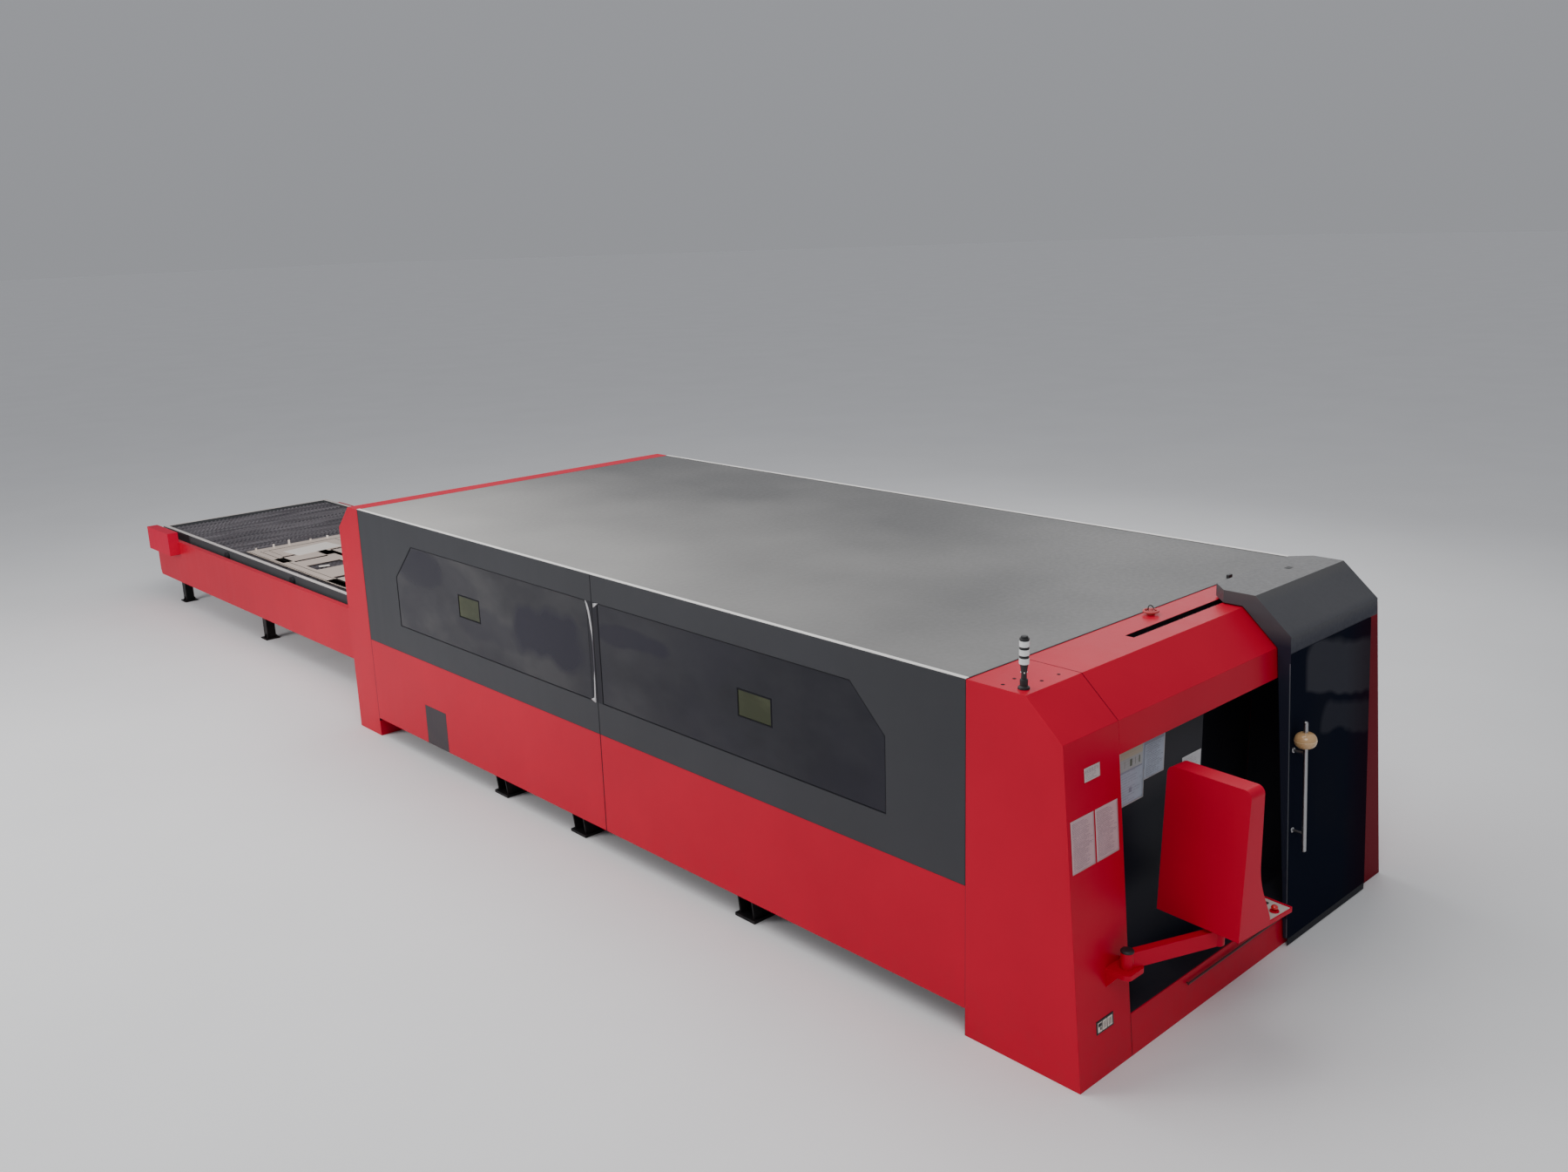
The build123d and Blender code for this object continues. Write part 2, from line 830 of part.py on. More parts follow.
# Rear portal: one welded frame with the pallets' passage through it
portal_opening_half = table_outer - table_beam_thickness
portal_brow_height = machine_height - portal_brow_drop
portal_profile = [
    (portal_y, 0),
    (portal_y, machine_height),
    (portal_y + portal_top_depth, machine_height),
    (portal_y + portal_depth, portal_brow_height),
    (portal_y + portal_depth, 0),
]
with BuildPart() as rear_portal:
    side_prism(portal_profile, -half_width, half_width)
    block(
        (-portal_opening_half, portal_opening_half),
        (portal_y - 1, portal_y + portal_depth + 1),
        (portal_opening_bottom, portal_opening_top),
        Mode.SUBTRACT,
    )
save(rear_portal, "rear_portal")

# Exchange table: folded side beams on legs, tied by cross members
table_front_y = portal_y + portal_depth
table_end_y = junction_y + table_end
table_inner = table_outer - table_beam_thickness
with BuildPart() as table_side_beams:
    for x0, x1 in ((-table_outer, -table_inner), (table_inner, table_outer)):
        side_prism(
            [
                (table_front_y, table_beam_bottom),
                (table_front_y, table_beam_top),
                (table_end_y, table_beam_top),
                (table_end_y, table_beam_bottom + table_beam_cut),
                (table_end_y - table_beam_cut / 2, table_beam_bottom),
            ],
            x0,
            x1,
        )
save(table_side_beams, "table_side_beams")


def cross_member_y(index):
    """Centre of one of the table's cross members, counted from the free end."""
    return table_end_y - table_cross_inset - index * table_cross_pitch


with BuildPart() as table_cross_members:
    for index in range(table_cross_count):
        y = cross_member_y(index)
        block(
            (-table_inner, table_inner),
            (y - table_cross_width / 2, y + table_cross_width / 2),
            (table_beam_bottom, table_beam_bottom + table_cross_height),
        )
save(table_cross_members, "table_cross_members")

# Table legs: square posts under two of the cross members, on gusseted floor plates
with BuildPart() as table_legs:
    for side in (-1, 1):
        centre = side * (table_inner - table_leg_margin - table_leg_width / 2)
        for index in table_leg_members:
            y = cross_member_y(index)
            plate_half = table_leg_plate / 2
            post_half = table_leg_width / 2
            block(
                (centre - plate_half, centre + plate_half),
                (y - plate_half, y + plate_half),
                (0, table_leg_plate_thickness),
            )
            block(
                (centre - post_half, centre + post_half),
                (y - post_half, y + post_half),
                (table_leg_plate_thickness, table_beam_bottom),
            )
            with BuildSketch(Plane.XZ.offset(-y - table_gusset / 2)) as gusset:
                with BuildLine():
                    Polyline(
                        (centre - plate_half, table_leg_plate_thickness),
                        (centre + plate_half, table_leg_plate_thickness),
                        (centre, table_leg_plate_thickness + table_gusset_height * 2),
                        close=True,
                    )
                make_face()
            extrude(gusset.sketch, amount=table_gusset, dir=(0, -1, 0))
save(table_legs, "table_legs")

# Corner guard: a folded cap on the outer face of the left beam, at its free end
guard_x = (-table_outer - guard_width, -table_outer)
guard_y = (table_end_y - guard_inset - guard_length, table_end_y - guard_inset)
with BuildPart() as corner_guard:
    block(guard_x, guard_y, (guard_bottom, guard_top))
    block(
        (guard_x[0] + guard_wall, guard_x[1]),
        (guard_y[0] + guard_wall, guard_y[1] - guard_wall),
        (guard_bottom - 1, guard_top - guard_wall),
        Mode.SUBTRACT,
    )
save(corner_guard, "corner_guard")

# Rails for the two pallets, one level above the other
pallet_tops = {"upper": pallet_top, "lower": pallet_top - pallet_pitch}
rail_start_y = junction_y + pallet_inner_start
rail_outer = bed_inner


def wheel_centre(level):
    """Height of a pallet's wheel axes."""
    return pallet_tops[level] - pallet_wheel_drop


def rail_top(level):
    """Height of the running surface under a pallet's wheels."""
    return wheel_centre(level) - pallet_wheel_radius - running_gap


for level in ("upper", "lower"):
    with BuildPart() as pallet_rails:
        for side in (-1, 1):
            ledge_x = sorted((side * rail_inner, side * rail_outer))
            web_x = sorted((side * (rail_outer - rail_ledge_thickness), side * rail_outer))
            top = rail_top(level)
            block(ledge_x, (rail_start_y, table_end_y), (top - rail_ledge_thickness, top))
            block(web_x, (rail_start_y, table_end_y), (top - rail_web_height, top))
    save(pallet_rails, level + "_pallet_rails")

# Pallets: a rim of tubes, bearers for the slats, wheels and toothed slats
upper_start_y = junction_y + rear_reach - pallet_length
lower_start_y = junction_y + pallet_inner_start
rim_inner = pallet_half_width - pallet_tube
slat_length = 2 * rim_inner
tooth_pitch = slat_length / slat_tooth_count
slat_step = (pallet_length - 2 * pallet_tube) / slat_count
bearer_drop = slat_drop + slat_height


def slat_outline():
    """(x, z) corners of a slat with its toothed upper edge at z = 0."""
    points = [(-rim_inner, -slat_height), (-rim_inner, 0)]
    for tooth in range(slat_tooth_count):
        left = -rim_inner + tooth * tooth_pitch
        points.append((left + tooth_pitch / 2, -slat_tooth_height))
        points.append((left + tooth_pitch, 0))
    points.append((rim_inner, -slat_height))
    return points


with BuildPart() as slat:
    with BuildSketch(Plane.XZ.offset(-slat_thickness / 2)):
        with BuildLine():
            Polyline(*slat_outline(), close=True)
        make_face()
    extrude(amount=slat_thickness)

for level, start_y in (("upper", upper_start_y), ("lower", lower_start_y)):
    top = pallet_tops[level]
    end_y = start_y + pallet_length
    with BuildPart() as pallet_frame:
        for side in (-1, 1):
            rim_x = sorted((side * rim_inner, side * pallet_half_width))
            block(rim_x, (start_y, end_y), (top - pallet_depth, top))
        for y in (start_y, end_y - pallet_tube):
            block((-rim_inner, rim_inner), (y, y + pallet_tube), (top - pallet_depth, top))
        for index in range(pallet_bearer_count):
            centre = (index - (pallet_bearer_count - 1) / 2) * rim_inner * 2 / (pallet_bearer_count + 1)
            block(
                (centre - pallet_bearer_width / 2, centre + pallet_bearer_width / 2),
                (start_y + pallet_tube, end_y - pallet_tube),
                (top - bearer_drop - pallet_bearer_height, top - bearer_drop),
            )
    save(pallet_frame, level + "_pallet_frame")

    with BuildPart() as pallet_wheels:
        wheel_step = (pallet_length - 2 * pallet_wheel_inset) / (pallet_wheel_count - 1)
        for index in range(pallet_wheel_count):
            y = start_y + pallet_wheel_inset + index * wheel_step
            z = wheel_centre(level)
            for side in (-1, 1):
                axle_start = side * pallet_half_width
                wheel_start = axle_start + side * wheel_gap
                wheel_end = wheel_start + side * pallet_wheel_width
                hexagon((axle_start, y, z), (wheel_start, y, z), pallet_axle_radius)
                rod((wheel_start, y, z), (wheel_end, y, z), pallet_wheel_radius)
    save(pallet_wheels, level + "_pallet_wheels")

    with BuildPart() as pallet_slats:
        first_slat = start_y + pallet_tube + slat_step / 2
        places = [(0, first_slat + index * slat_step, top - slat_drop) for index in range(slat_count)]
        add([slat.part.moved(Location(place)) for place in places])
    save(pallet_slats, level + "_pallet_slats")

# Cut blank resting on the upper slats, with the cut-outs of finished pieces
blank_bottom = pallet_top - slat_drop
blank_y = upper_start_y + blank_inset
blank_half_width = pallet_half_width - blank_margin
blank_cuts = [
    (-0.63, 0.78, 0.41, 0.11),
    (-0.63, 0.61, 0.41, 0.08),
    (-0.12, 0.73, 0.29, 0.17),
    (-0.61, 0.36, 0.51, 0.17),
    (0.18, 0.35, 0.45, 0.19),
    (0.55, 0.70, 0.37, 0.14),
    (-0.49, 0.14, 0.61, 0.10),
    (0.34, 0.12, 0.51, 0.11),
]
with BuildPart() as cut_blank:
    block(
        (-blank_half_width, blank_half_width),
        (blank_y, blank_y + blank_length),
        (blank_bottom, blank_bottom + blank_thickness),
    )
    for x, y, width, length in blank_cuts:
        block(
            (blank_half_width * (x - width / 2), blank_half_width * (x + width / 2)),
            (blank_y + blank_length * (y - length / 2), blank_y + blank_length * (y + length / 2)),
            (blank_bottom - 1, blank_bottom + blank_thickness + 1),
            Mode.SUBTRACT,
        )
save(cut_blank, "cut_blank")

# Pallet drive: gear motor and cross shaft with its two sprockets
drive_axis_y = table_front_y + drive_inset
with BuildPart() as pallet_drive:
    shaft_start = (-table_inner, drive_axis_y, drive_height)
    rod(shaft_start, (table_inner, drive_axis_y, drive_height), drive_shaft_radius)
    for side in (-1, 1):
        start = side * (rail_inner - drive_sprocket_width)
        end = start - side * drive_sprocket_width
        rod((start, drive_axis_y, drive_height), (end, drive_axis_y, drive_height), drive_sprocket_radius)
    with Locations((0, drive_axis_y, drive_height)):
        Box(gearbox_size, gearbox_size, gearbox_height)
    motor_start = (0, drive_axis_y + gearbox_size / 2, drive_height)
    rod(motor_start, (0, motor_start[1] + motor_length, drive_height), motor_radius)
save(pallet_drive, "pallet_drive")

# Gantry: a box beam on two trucks that run on the bed's rails
gantry_y = junction_y + gantry_rest
rail_top_z = bed_top + gantry_rail_height
with BuildPart() as gantry_beam:
    beam_half = gantry_rail_centre + truck_width / 2
    block(
        (-beam_half, beam_half),
        (gantry_y, gantry_y + gantry_depth),
        (gantry_bottom, gantry_bottom + gantry_height),
    )
    for z in (gantry_bottom + beam_rail_inset, gantry_bottom + gantry_height - beam_rail_inset):
        half = beam_rail_width / 2
        block((-bed_inner, bed_inner), (gantry_y - beam_rail_height, gantry_y), (z - half, z + half))
save(gantry_beam, "gantry_beam")

with BuildPart() as gantry_trucks:
    truck_y = gantry_y + gantry_depth / 2 - truck_length / 2
    for side in (-1, 1):
        centre = side * gantry_rail_centre
        truck_x = (centre - truck_width / 2, centre + truck_width / 2)
        truck_span = (truck_y, truck_y + truck_length)
        block(truck_x, truck_span, (rail_top_z + running_gap, rail_top_z + truck_plate))
        block(truck_x, (gantry_y, gantry_y + gantry_depth), (rail_top_z + truck_plate, gantry_bottom))
save(gantry_trucks, "gantry_trucks")

# Head carriage across the beam, Z slide on it and the cutting head
carriage_back_y = gantry_y - beam_rail_height - running_gap
carriage_front_y = carriage_back_y - carriage_thickness
carriage_rest_x = carriage_park - pallet_half_width
with BuildPart() as head_carriage:
    block(
        (carriage_rest_x - carriage_width / 2, carriage_rest_x + carriage_width / 2),
        (carriage_front_y, carriage_back_y),
        (gantry_bottom, gantry_bottom + gantry_height),
    )
save(head_carriage, "head_carriage")

slide_back_y = carriage_front_y - running_gap
slide_front_y = slide_back_y - slide_thickness
with BuildPart() as z_slide:
    block(
        (carriage_rest_x - slide_width / 2, carriage_rest_x + slide_width / 2),
        (slide_front_y, slide_back_y),
        (slide_bottom, slide_bottom + slide_height),
    )
save(z_slide, "z_slide")

head_y = slide_front_y - head_radius
head_base = head_tip_height + nozzle_height
beam_axis = Axis((carriage_rest_x, head_y, 0), (0, 0, 1))
with BuildPart() as cutting_head:
    head_place = (carriage_rest_x, head_y, head_base)
    with BuildSketch(Plane(origin=head_place, x_dir=(1, 0, 0), z_dir=(0, -1, 0))) as head_section:
        with BuildLine():
            Polyline(
                (0, 0),
                (nozzle_radius, 0),
                (head_radius, head_cone_height),
                (head_radius, head_neck_start),
                (head_neck_radius, head_neck_start),
                (head_neck_radius, head_length),
                (0, head_length),
                close=True,
            )
        make_face()
    revolve(head_section.sketch, axis=beam_axis)
save(cutting_head, "cutting_head")

with BuildPart() as nozzle:
    nozzle_place = (carriage_rest_x, head_y, head_tip_height)
    with BuildSketch(Plane(origin=nozzle_place, x_dir=(1, 0, 0), z_dir=(0, -1, 0))) as nozzle_section:
        with BuildLine():
            Polyline(
                (nozzle_bore, 0),
                (nozzle_tip_radius, 0),
                (nozzle_radius, nozzle_cone_height),
                (nozzle_radius, nozzle_height),
                (nozzle_bore, nozzle_height),
                close=True,
            )
        make_face()
    revolve(nozzle_section.sketch, axis=beam_axis)
save(nozzle, "nozzle")

# Console bracket and swing arm on the left column
arm_pivot_x = -column_inner - arm_pivot_inset
swivel_x = arm_pivot_x + arm_reach
pivot_y = junction_y - arm_pivot_depth
swivel_y = junction_y - swivel_depth
bracket_top = bracket_plate_height + bracket_plate_thickness
arm_bottom = bracket_top + running_gap
arm_top = arm_bottom + arm_height
bracket_toe = bracket_plate_height - bracket_plate_half
with BuildPart() as console_bracket:
    bracket_y = (pivot_y - bracket_plate_reach, face_y(bracket_top) + sheet)
    bracket_x = (arm_pivot_x - bracket_plate_half, arm_pivot_x + bracket_plate_half)
    block(bracket_x, bracket_y, (bracket_plate_height, bracket_top))
    fillet(console_bracket.edges().filter_by(Axis.Z).group_by(Axis.Y)[0], radius=bracket_plate_reach / 2)
    for edge in (-1, 1):
        x = arm_pivot_x + edge * (bracket_plate_half - sheet / 2)
        side_prism(
            [
                (face_y(bracket_toe), bracket_toe),
                (face_y(bracket_plate_height), bracket_plate_height),
                (pivot_y, bracket_plate_height),
            ],
            x - sheet / 2,
            x + sheet / 2,
        )
    rod((arm_pivot_x, pivot_y, bracket_top), (arm_pivot_x, pivot_y, arm_top + running_gap), pivot_pin_radius)
    side_prism(column_profile, -half_width, -column_inner, Mode.SUBTRACT)
save(console_bracket, "console_bracket")

arm_run = math.hypot(swivel_x - arm_pivot_x, pivot_y - swivel_y)
arm_angle = math.degrees(math.atan2(swivel_y - pivot_y, swivel_x - arm_pivot_x))
arm_plane = Plane(Location((arm_pivot_x, pivot_y, arm_bottom), (0, 0, arm_angle)))
with BuildPart() as console_arm:
    with BuildSketch(arm_plane):
        Circle(knuckle_radius)
        with Locations((arm_run, 0)):
            Circle(knuckle_radius)
        with Locations((arm_run / 2, 0)):
            Rectangle(arm_run, arm_width)
        Circle(pivot_pin_radius + running_gap, mode=Mode.SUBTRACT)
    extrude(amount=arm_height)
    swivel_pin_top = console_bottom + console_bore_depth - running_gap
    rod((swivel_x, swivel_y, arm_top), (swivel_x, swivel_y, swivel_pin_top), swivel_pin_radius)
save(console_arm, "console_arm")

with BuildPart() as pivot_cap:
    with BuildSketch(Plane.XY.offset(arm_top + running_gap)):
        with Locations((arm_pivot_x, pivot_y)):
            Circle(pivot_cap_radius)
    extrude(amount=pivot_cap_height)
save(pivot_cap, "pivot_cap")

# Console housing: side profile extruded across its width, its upper corners rounded
console_origin = Location((swivel_x, swivel_y, 0), (0, 0, console_yaw))


def console_plane(y):
    """The plane of the console's side profile at a place across its width."""
    return Plane(console_origin * Plane.XZ.offset(-y).location)


with BuildPart() as console_housing:
    with BuildSketch(console_plane(console_start)) as console_profile:
        with BuildLine():
            Polyline(
                (console_foot_reach, console_bottom + console_foot_height),
                (console_foot_reach, console_bottom),
                (-console_back, console_bottom),
                (-console_back + console_top_lean, console_top),
                (-console_back + console_top_lean + console_top_thickness, console_top),
                (console_waist_reach, console_waist),
            )
            Spline(
                (console_waist_reach, console_waist),
                (console_foot_reach, console_bottom + console_foot_height),
                tangents=[(0, -1), (console_flare, -1)],
            )
        make_face()
    extrude(amount=-2 * console_half_width)
    top_corners = console_housing.faces().sort_by(Axis.Z)[-1].edges().sort_by(SortBy.LENGTH)[:2]
    fillet(top_corners, radius=console_corner)
    with Locations((swivel_x, swivel_y, console_bottom)):
        Cylinder(swivel_pin_radius + running_gap, console_bore_depth * 2, mode=Mode.SUBTRACT)
save(console_housing, "console_housing")


def console_block(x, y, z, mode=Mode.ADD):
    """A box in the console's own axes: +X towards the operator, origin on the swivel."""
    with Locations(console_origin):
        with Locations((x[0], y[0], z[0])):
            Box(x[1] - x[0], y[1] - y[0], z[1] - z[0], align=(Align.MIN, Align.MIN, Align.MIN), mode=mode)


tray_top = console_bottom + tray_thickness
tray_middle = console_foot_reach + tray_reach / 2
collar_top = tray_top + stop_collar_height
cap_bottom = collar_top + stop_travel + running_gap


def stop_cylinder(radius, bottom, top, mode=Mode.ADD):
    """A cylinder on the emergency stop's axis between two heights."""
    with Locations(console_origin):
        with Locations((tray_middle, console_shift - stop_offset, bottom)):
            Cylinder(radius, top - bottom, align=(Align.CENTER, Align.CENTER, Align.MIN), mode=mode)


with BuildPart() as keyboard_tray:
    tray_x = (console_foot_reach, tray_end)
    tray_y = (console_start, console_end)
    console_block(tray_x, tray_y, (console_bottom, tray_top))
    console_block((tray_end - tray_lip, tray_end), tray_y, (tray_top, tray_top + tray_lip_height))
    stop_cylinder(stop_collar_radius, tray_top, collar_top)
    stop_cylinder(stop_stem_radius + running_gap, console_bottom - 1, collar_top + 1, Mode.SUBTRACT)
save(keyboard_tray, "keyboard_tray")

with BuildPart() as emergency_stop:
    stop_cylinder(stop_radius, cap_bottom, cap_bottom + stop_height)
    stop_cylinder(stop_stem_radius, cap_bottom - stop_stem_length, cap_bottom)
save(emergency_stop, "emergency_stop")

with BuildPart() as keyboard:
    keyboard_middle = console_shift + stop_collar_radius
    keyboard_x = (tray_middle - keyboard_depth / 2, tray_middle + keyboard_depth / 2)
    keyboard_y = (keyboard_middle - keyboard_width / 2, keyboard_middle + keyboard_width / 2)
    console_block(keyboard_x, keyboard_y, (tray_top, tray_top + keyboard_thickness))
save(keyboard, "keyboard")

screen_start = console_top_thickness - console_back + console_top_lean
with BuildPart() as console_screen:
    lean = (screen_start - console_waist_reach) / (console_top - console_waist)
    screen_base = screen_start - lean * (console_top - screen_bottom)
    with BuildSketch(console_plane(console_shift - screen_width / 2)) as screen_profile:
        with BuildLine():
            Polyline(
                (screen_base, screen_bottom),
                (screen_base + screen_thickness, screen_bottom),
                (screen_base + lean * screen_height + screen_thickness, screen_bottom + screen_height),
                (screen_base + lean * screen_height, screen_bottom + screen_height),
                close=True,
            )
        make_face()
    extrude(amount=-screen_width)
save(console_screen, "console_screen")

# Signal tower: flange, barrel, neck and head, lens modules with rings between them and a cap
tower_x = tower_margin - half_width
tower_y = junction_y - tower_depth


def tower_stage(bottom, height, radius):
    """A turned stage of the tower from a height upwards, and the height of its top."""
    rod((tower_x, tower_y, bottom), (tower_x, tower_y, bottom + height), radius)
    return bottom + height


with BuildPart() as tower_body:
    barrel_bottom = tower_stage(machine_height, tower_base_height, tower_base_radius)
    neck_bottom = tower_stage(barrel_bottom, tower_barrel_height, tower_barrel_radius)
    head_bottom = tower_stage(neck_bottom, tower_neck_height, tower_neck_radius)
    lens_start = tower_stage(head_bottom, tower_head_height, ring_radius)
    for index in range(1, lens_count + 1):
        tower_stage(lens_start + index * (lens_height + ring_height) - ring_height, ring_height, ring_radius)
save(tower_body, "tower_body")

with BuildPart() as tower_lenses:
    for index in range(lens_count):
        cap_bottom_z = tower_stage(lens_start + index * (lens_height + ring_height), lens_height, lens_radius)
    tower_stage(cap_bottom_z + ring_height, cap_height, cap_radius)
save(tower_lenses, "tower_lenses")

# Lifting eye on the cabinet top: a bolted boss with its ring lying flat round it
eye_x = eye_place - half_width
eye_y = junction_y - eye_depth
eye_pin_z = machine_height + eye_lift
with BuildPart() as lifting_eye:
    rod((eye_x, eye_y, machine_height), (eye_x, eye_y, machine_height + eye_base_height), eye_base_radius)
    rod((eye_x, eye_y, machine_height), (eye_x, eye_y, machine_height + eye_bolt_height), eye_bolt_radius)
    with BuildSketch(Plane.XY.offset(eye_pin_z - eye_wire)) as ring_section:
        with Locations((eye_x, eye_y)):
            Circle(eye_radius + eye_wire)
            Circle(eye_radius - eye_wire, mode=Mode.SUBTRACT)
    extrude(ring_section.sketch, amount=2 * eye_wire)
    block(
        (eye_x - eye_radius, eye_x + eye_radius),
        (eye_y - eye_pin_radius, eye_y + eye_pin_radius),
        (eye_pin_z - eye_pin_radius, eye_pin_z + eye_pin_radius),
    )
save(lifting_eye, "lifting_eye")

# Outlet plate set in the left column
socket_span_z = (socket_bottom + seat_gap, socket_bottom + socket_height - seat_gap)
with BuildPart() as socket_plate:
    side_prism(
        [
            (face_y(socket_span_z[0]), socket_span_z[0]),
            (face_y(socket_span_z[1]), socket_span_z[1]),
            (face_y(socket_bottom) + socket_thickness * 2 - seat_gap, socket_span_z[1]),
            (face_y(socket_bottom) + socket_thickness * 2 - seat_gap, socket_span_z[0]),
        ],
        socket_left + seat_gap,
        socket_left + socket_width - seat_gap,
    )
save(socket_plate, "socket_plate")


def posted_sheet(left, width, bottom, height):
    """A sheet of paper flat on the slanted front face."""
    side_prism(
        [
            (face_y(bottom), bottom),
            (face_y(bottom + height), bottom + height),
            (face_y(bottom + height, paper_thickness), bottom + height),
            (face_y(bottom, paper_thickness), bottom),
        ],
        left,
        left + width,
    )


niche_y = junction_y - jamb_depth
notice_left = notice_margin - half_width
notice_bottom = machine_height - notice_drop
niche_sheet_left = niche_sheet_margin - column_inner
niche_sheet_top = lintel_height - niche_sheet_drop
niche_notice_left = niche_notice_place - column_inner
niche_notice_top = lintel_height - niche_notice_drop
with BuildPart() as posted_sheets:
    posted_sheet(notice_left, a4_width, notice_bottom, a4_height)
    posted_sheet(notice_left + notice_step, a4_width, notice_bottom, a4_height)
    posted_sheet(card_margin - half_width, card_width, machine_height - card_drop, card_height)
    paper_y = (niche_y - paper_thickness, niche_y)
    wide_left = niche_sheet_left + niche_sheet_width
    wide_right = wide_left + niche_wide_width
    block((niche_sheet_left, wide_left), paper_y, (niche_sheet_top - niche_sheet_height, niche_sheet_top))
    block((wide_left, wide_right), paper_y, (niche_sheet_top - niche_wide_height, niche_sheet_top))
    block(
        (niche_notice_left, niche_notice_left + a4_width),
        paper_y,
        (niche_notice_top - a4_height, niche_notice_top),
    )
save(posted_sheets, "posted_sheets")
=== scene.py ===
import json
import random
from math import cos, pi, radians, sin, sqrt

import bmesh
import bpy
from mathutils import Matrix, Vector


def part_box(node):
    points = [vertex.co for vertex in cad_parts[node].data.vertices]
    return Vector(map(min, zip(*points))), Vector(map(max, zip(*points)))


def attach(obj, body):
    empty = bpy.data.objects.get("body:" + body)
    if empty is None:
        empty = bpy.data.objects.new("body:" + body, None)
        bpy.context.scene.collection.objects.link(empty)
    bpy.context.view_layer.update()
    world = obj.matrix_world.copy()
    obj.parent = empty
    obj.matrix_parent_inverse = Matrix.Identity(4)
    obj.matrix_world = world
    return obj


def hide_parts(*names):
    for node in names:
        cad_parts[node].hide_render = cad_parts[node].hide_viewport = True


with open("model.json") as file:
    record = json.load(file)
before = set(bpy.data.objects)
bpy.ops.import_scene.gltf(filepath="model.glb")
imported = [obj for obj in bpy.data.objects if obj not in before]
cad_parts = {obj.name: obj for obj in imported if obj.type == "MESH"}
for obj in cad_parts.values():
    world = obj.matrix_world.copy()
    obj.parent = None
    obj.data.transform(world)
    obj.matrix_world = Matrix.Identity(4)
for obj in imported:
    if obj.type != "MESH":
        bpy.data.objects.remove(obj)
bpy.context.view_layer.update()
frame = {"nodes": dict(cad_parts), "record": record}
nodes = frame["nodes"]
random.seed(7)

# Shared places in metres. The photograph's camera was measured from the junction of cabinet and cabin,
# and the cabinet's depths are counted forwards from there.
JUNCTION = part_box("roof_panel")[0].y
HALF = 1.814
ROOF = 2.2
SEAM_Y = JUNCTION + 3.521
CABIN_END = JUNCTION + 7.162
COLUMN_INNER = 1.313
TOP_DEPTH, BROW_DEPTH, FOOT_DEPTH = 0.402, 0.645, 0.808
BROW_HEIGHT = 1.9825
FACE_SLOPE = (FOOT_DEPTH - BROW_DEPTH) / BROW_HEIGHT
SILL_TOP = 0.26
NICHE_Y = JUNCTION - 0.56
LEAF_TOP, LEAF_BOTTOM = 2.073, 0.055
LEAF_SLOPE = (0.84 - 0.738) / (LEAF_TOP - LEAF_BOTTOM)
WINDOW_LOW, WINDOW_HIGH = 1.213, 1.994
# Each side window: start and end behind the junction, length of the cut corner, whether it is the far one
WINDOWS = ((0.607, 3.46, 0.284, False), (3.582, 6.53, 0.322, True))


def add_object(name, data):
    thing = bpy.data.objects.new(name, data)
    bpy.context.scene.collection.objects.link(thing)
    return thing


# Camera, fitted to the photograph's straight edges
def place_camera():
    photo_width, photo_height = 1800.0, 1345.0
    focal, centre_u, centre_v = 1590.42, 897.38, 661.52
    yaw, pitch, roll = radians(42.61), radians(14.57), radians(1.83)
    forward = Vector((sin(yaw) * cos(pitch), cos(yaw) * cos(pitch), -sin(pitch)))
    level = Vector((cos(yaw), -sin(yaw), 0))
    under = forward.cross(level)
    right = level * cos(roll) + under * sin(roll)
    down = under * cos(roll) - level * sin(roll)
    data = bpy.data.cameras.new("camera")
    data.sensor_width = 36.0
    data.lens = data.sensor_width * focal / photo_width
    data.shift_x = (photo_width / 2 - centre_u) / photo_width
    data.shift_y = (centre_v - photo_height / 2) / photo_width
    data.clip_start, data.clip_end = 0.1, 200.0
    data.dof.use_dof = False
    camera = add_object("camera", data)
    turn = Matrix((right, -down, -forward)).transposed().to_4x4()
    camera.matrix_world = Matrix.Translation((-7.3927, JUNCTION - 4.6071, 4.6743)) @ turn
    bpy.context.scene.camera = camera


place_camera()


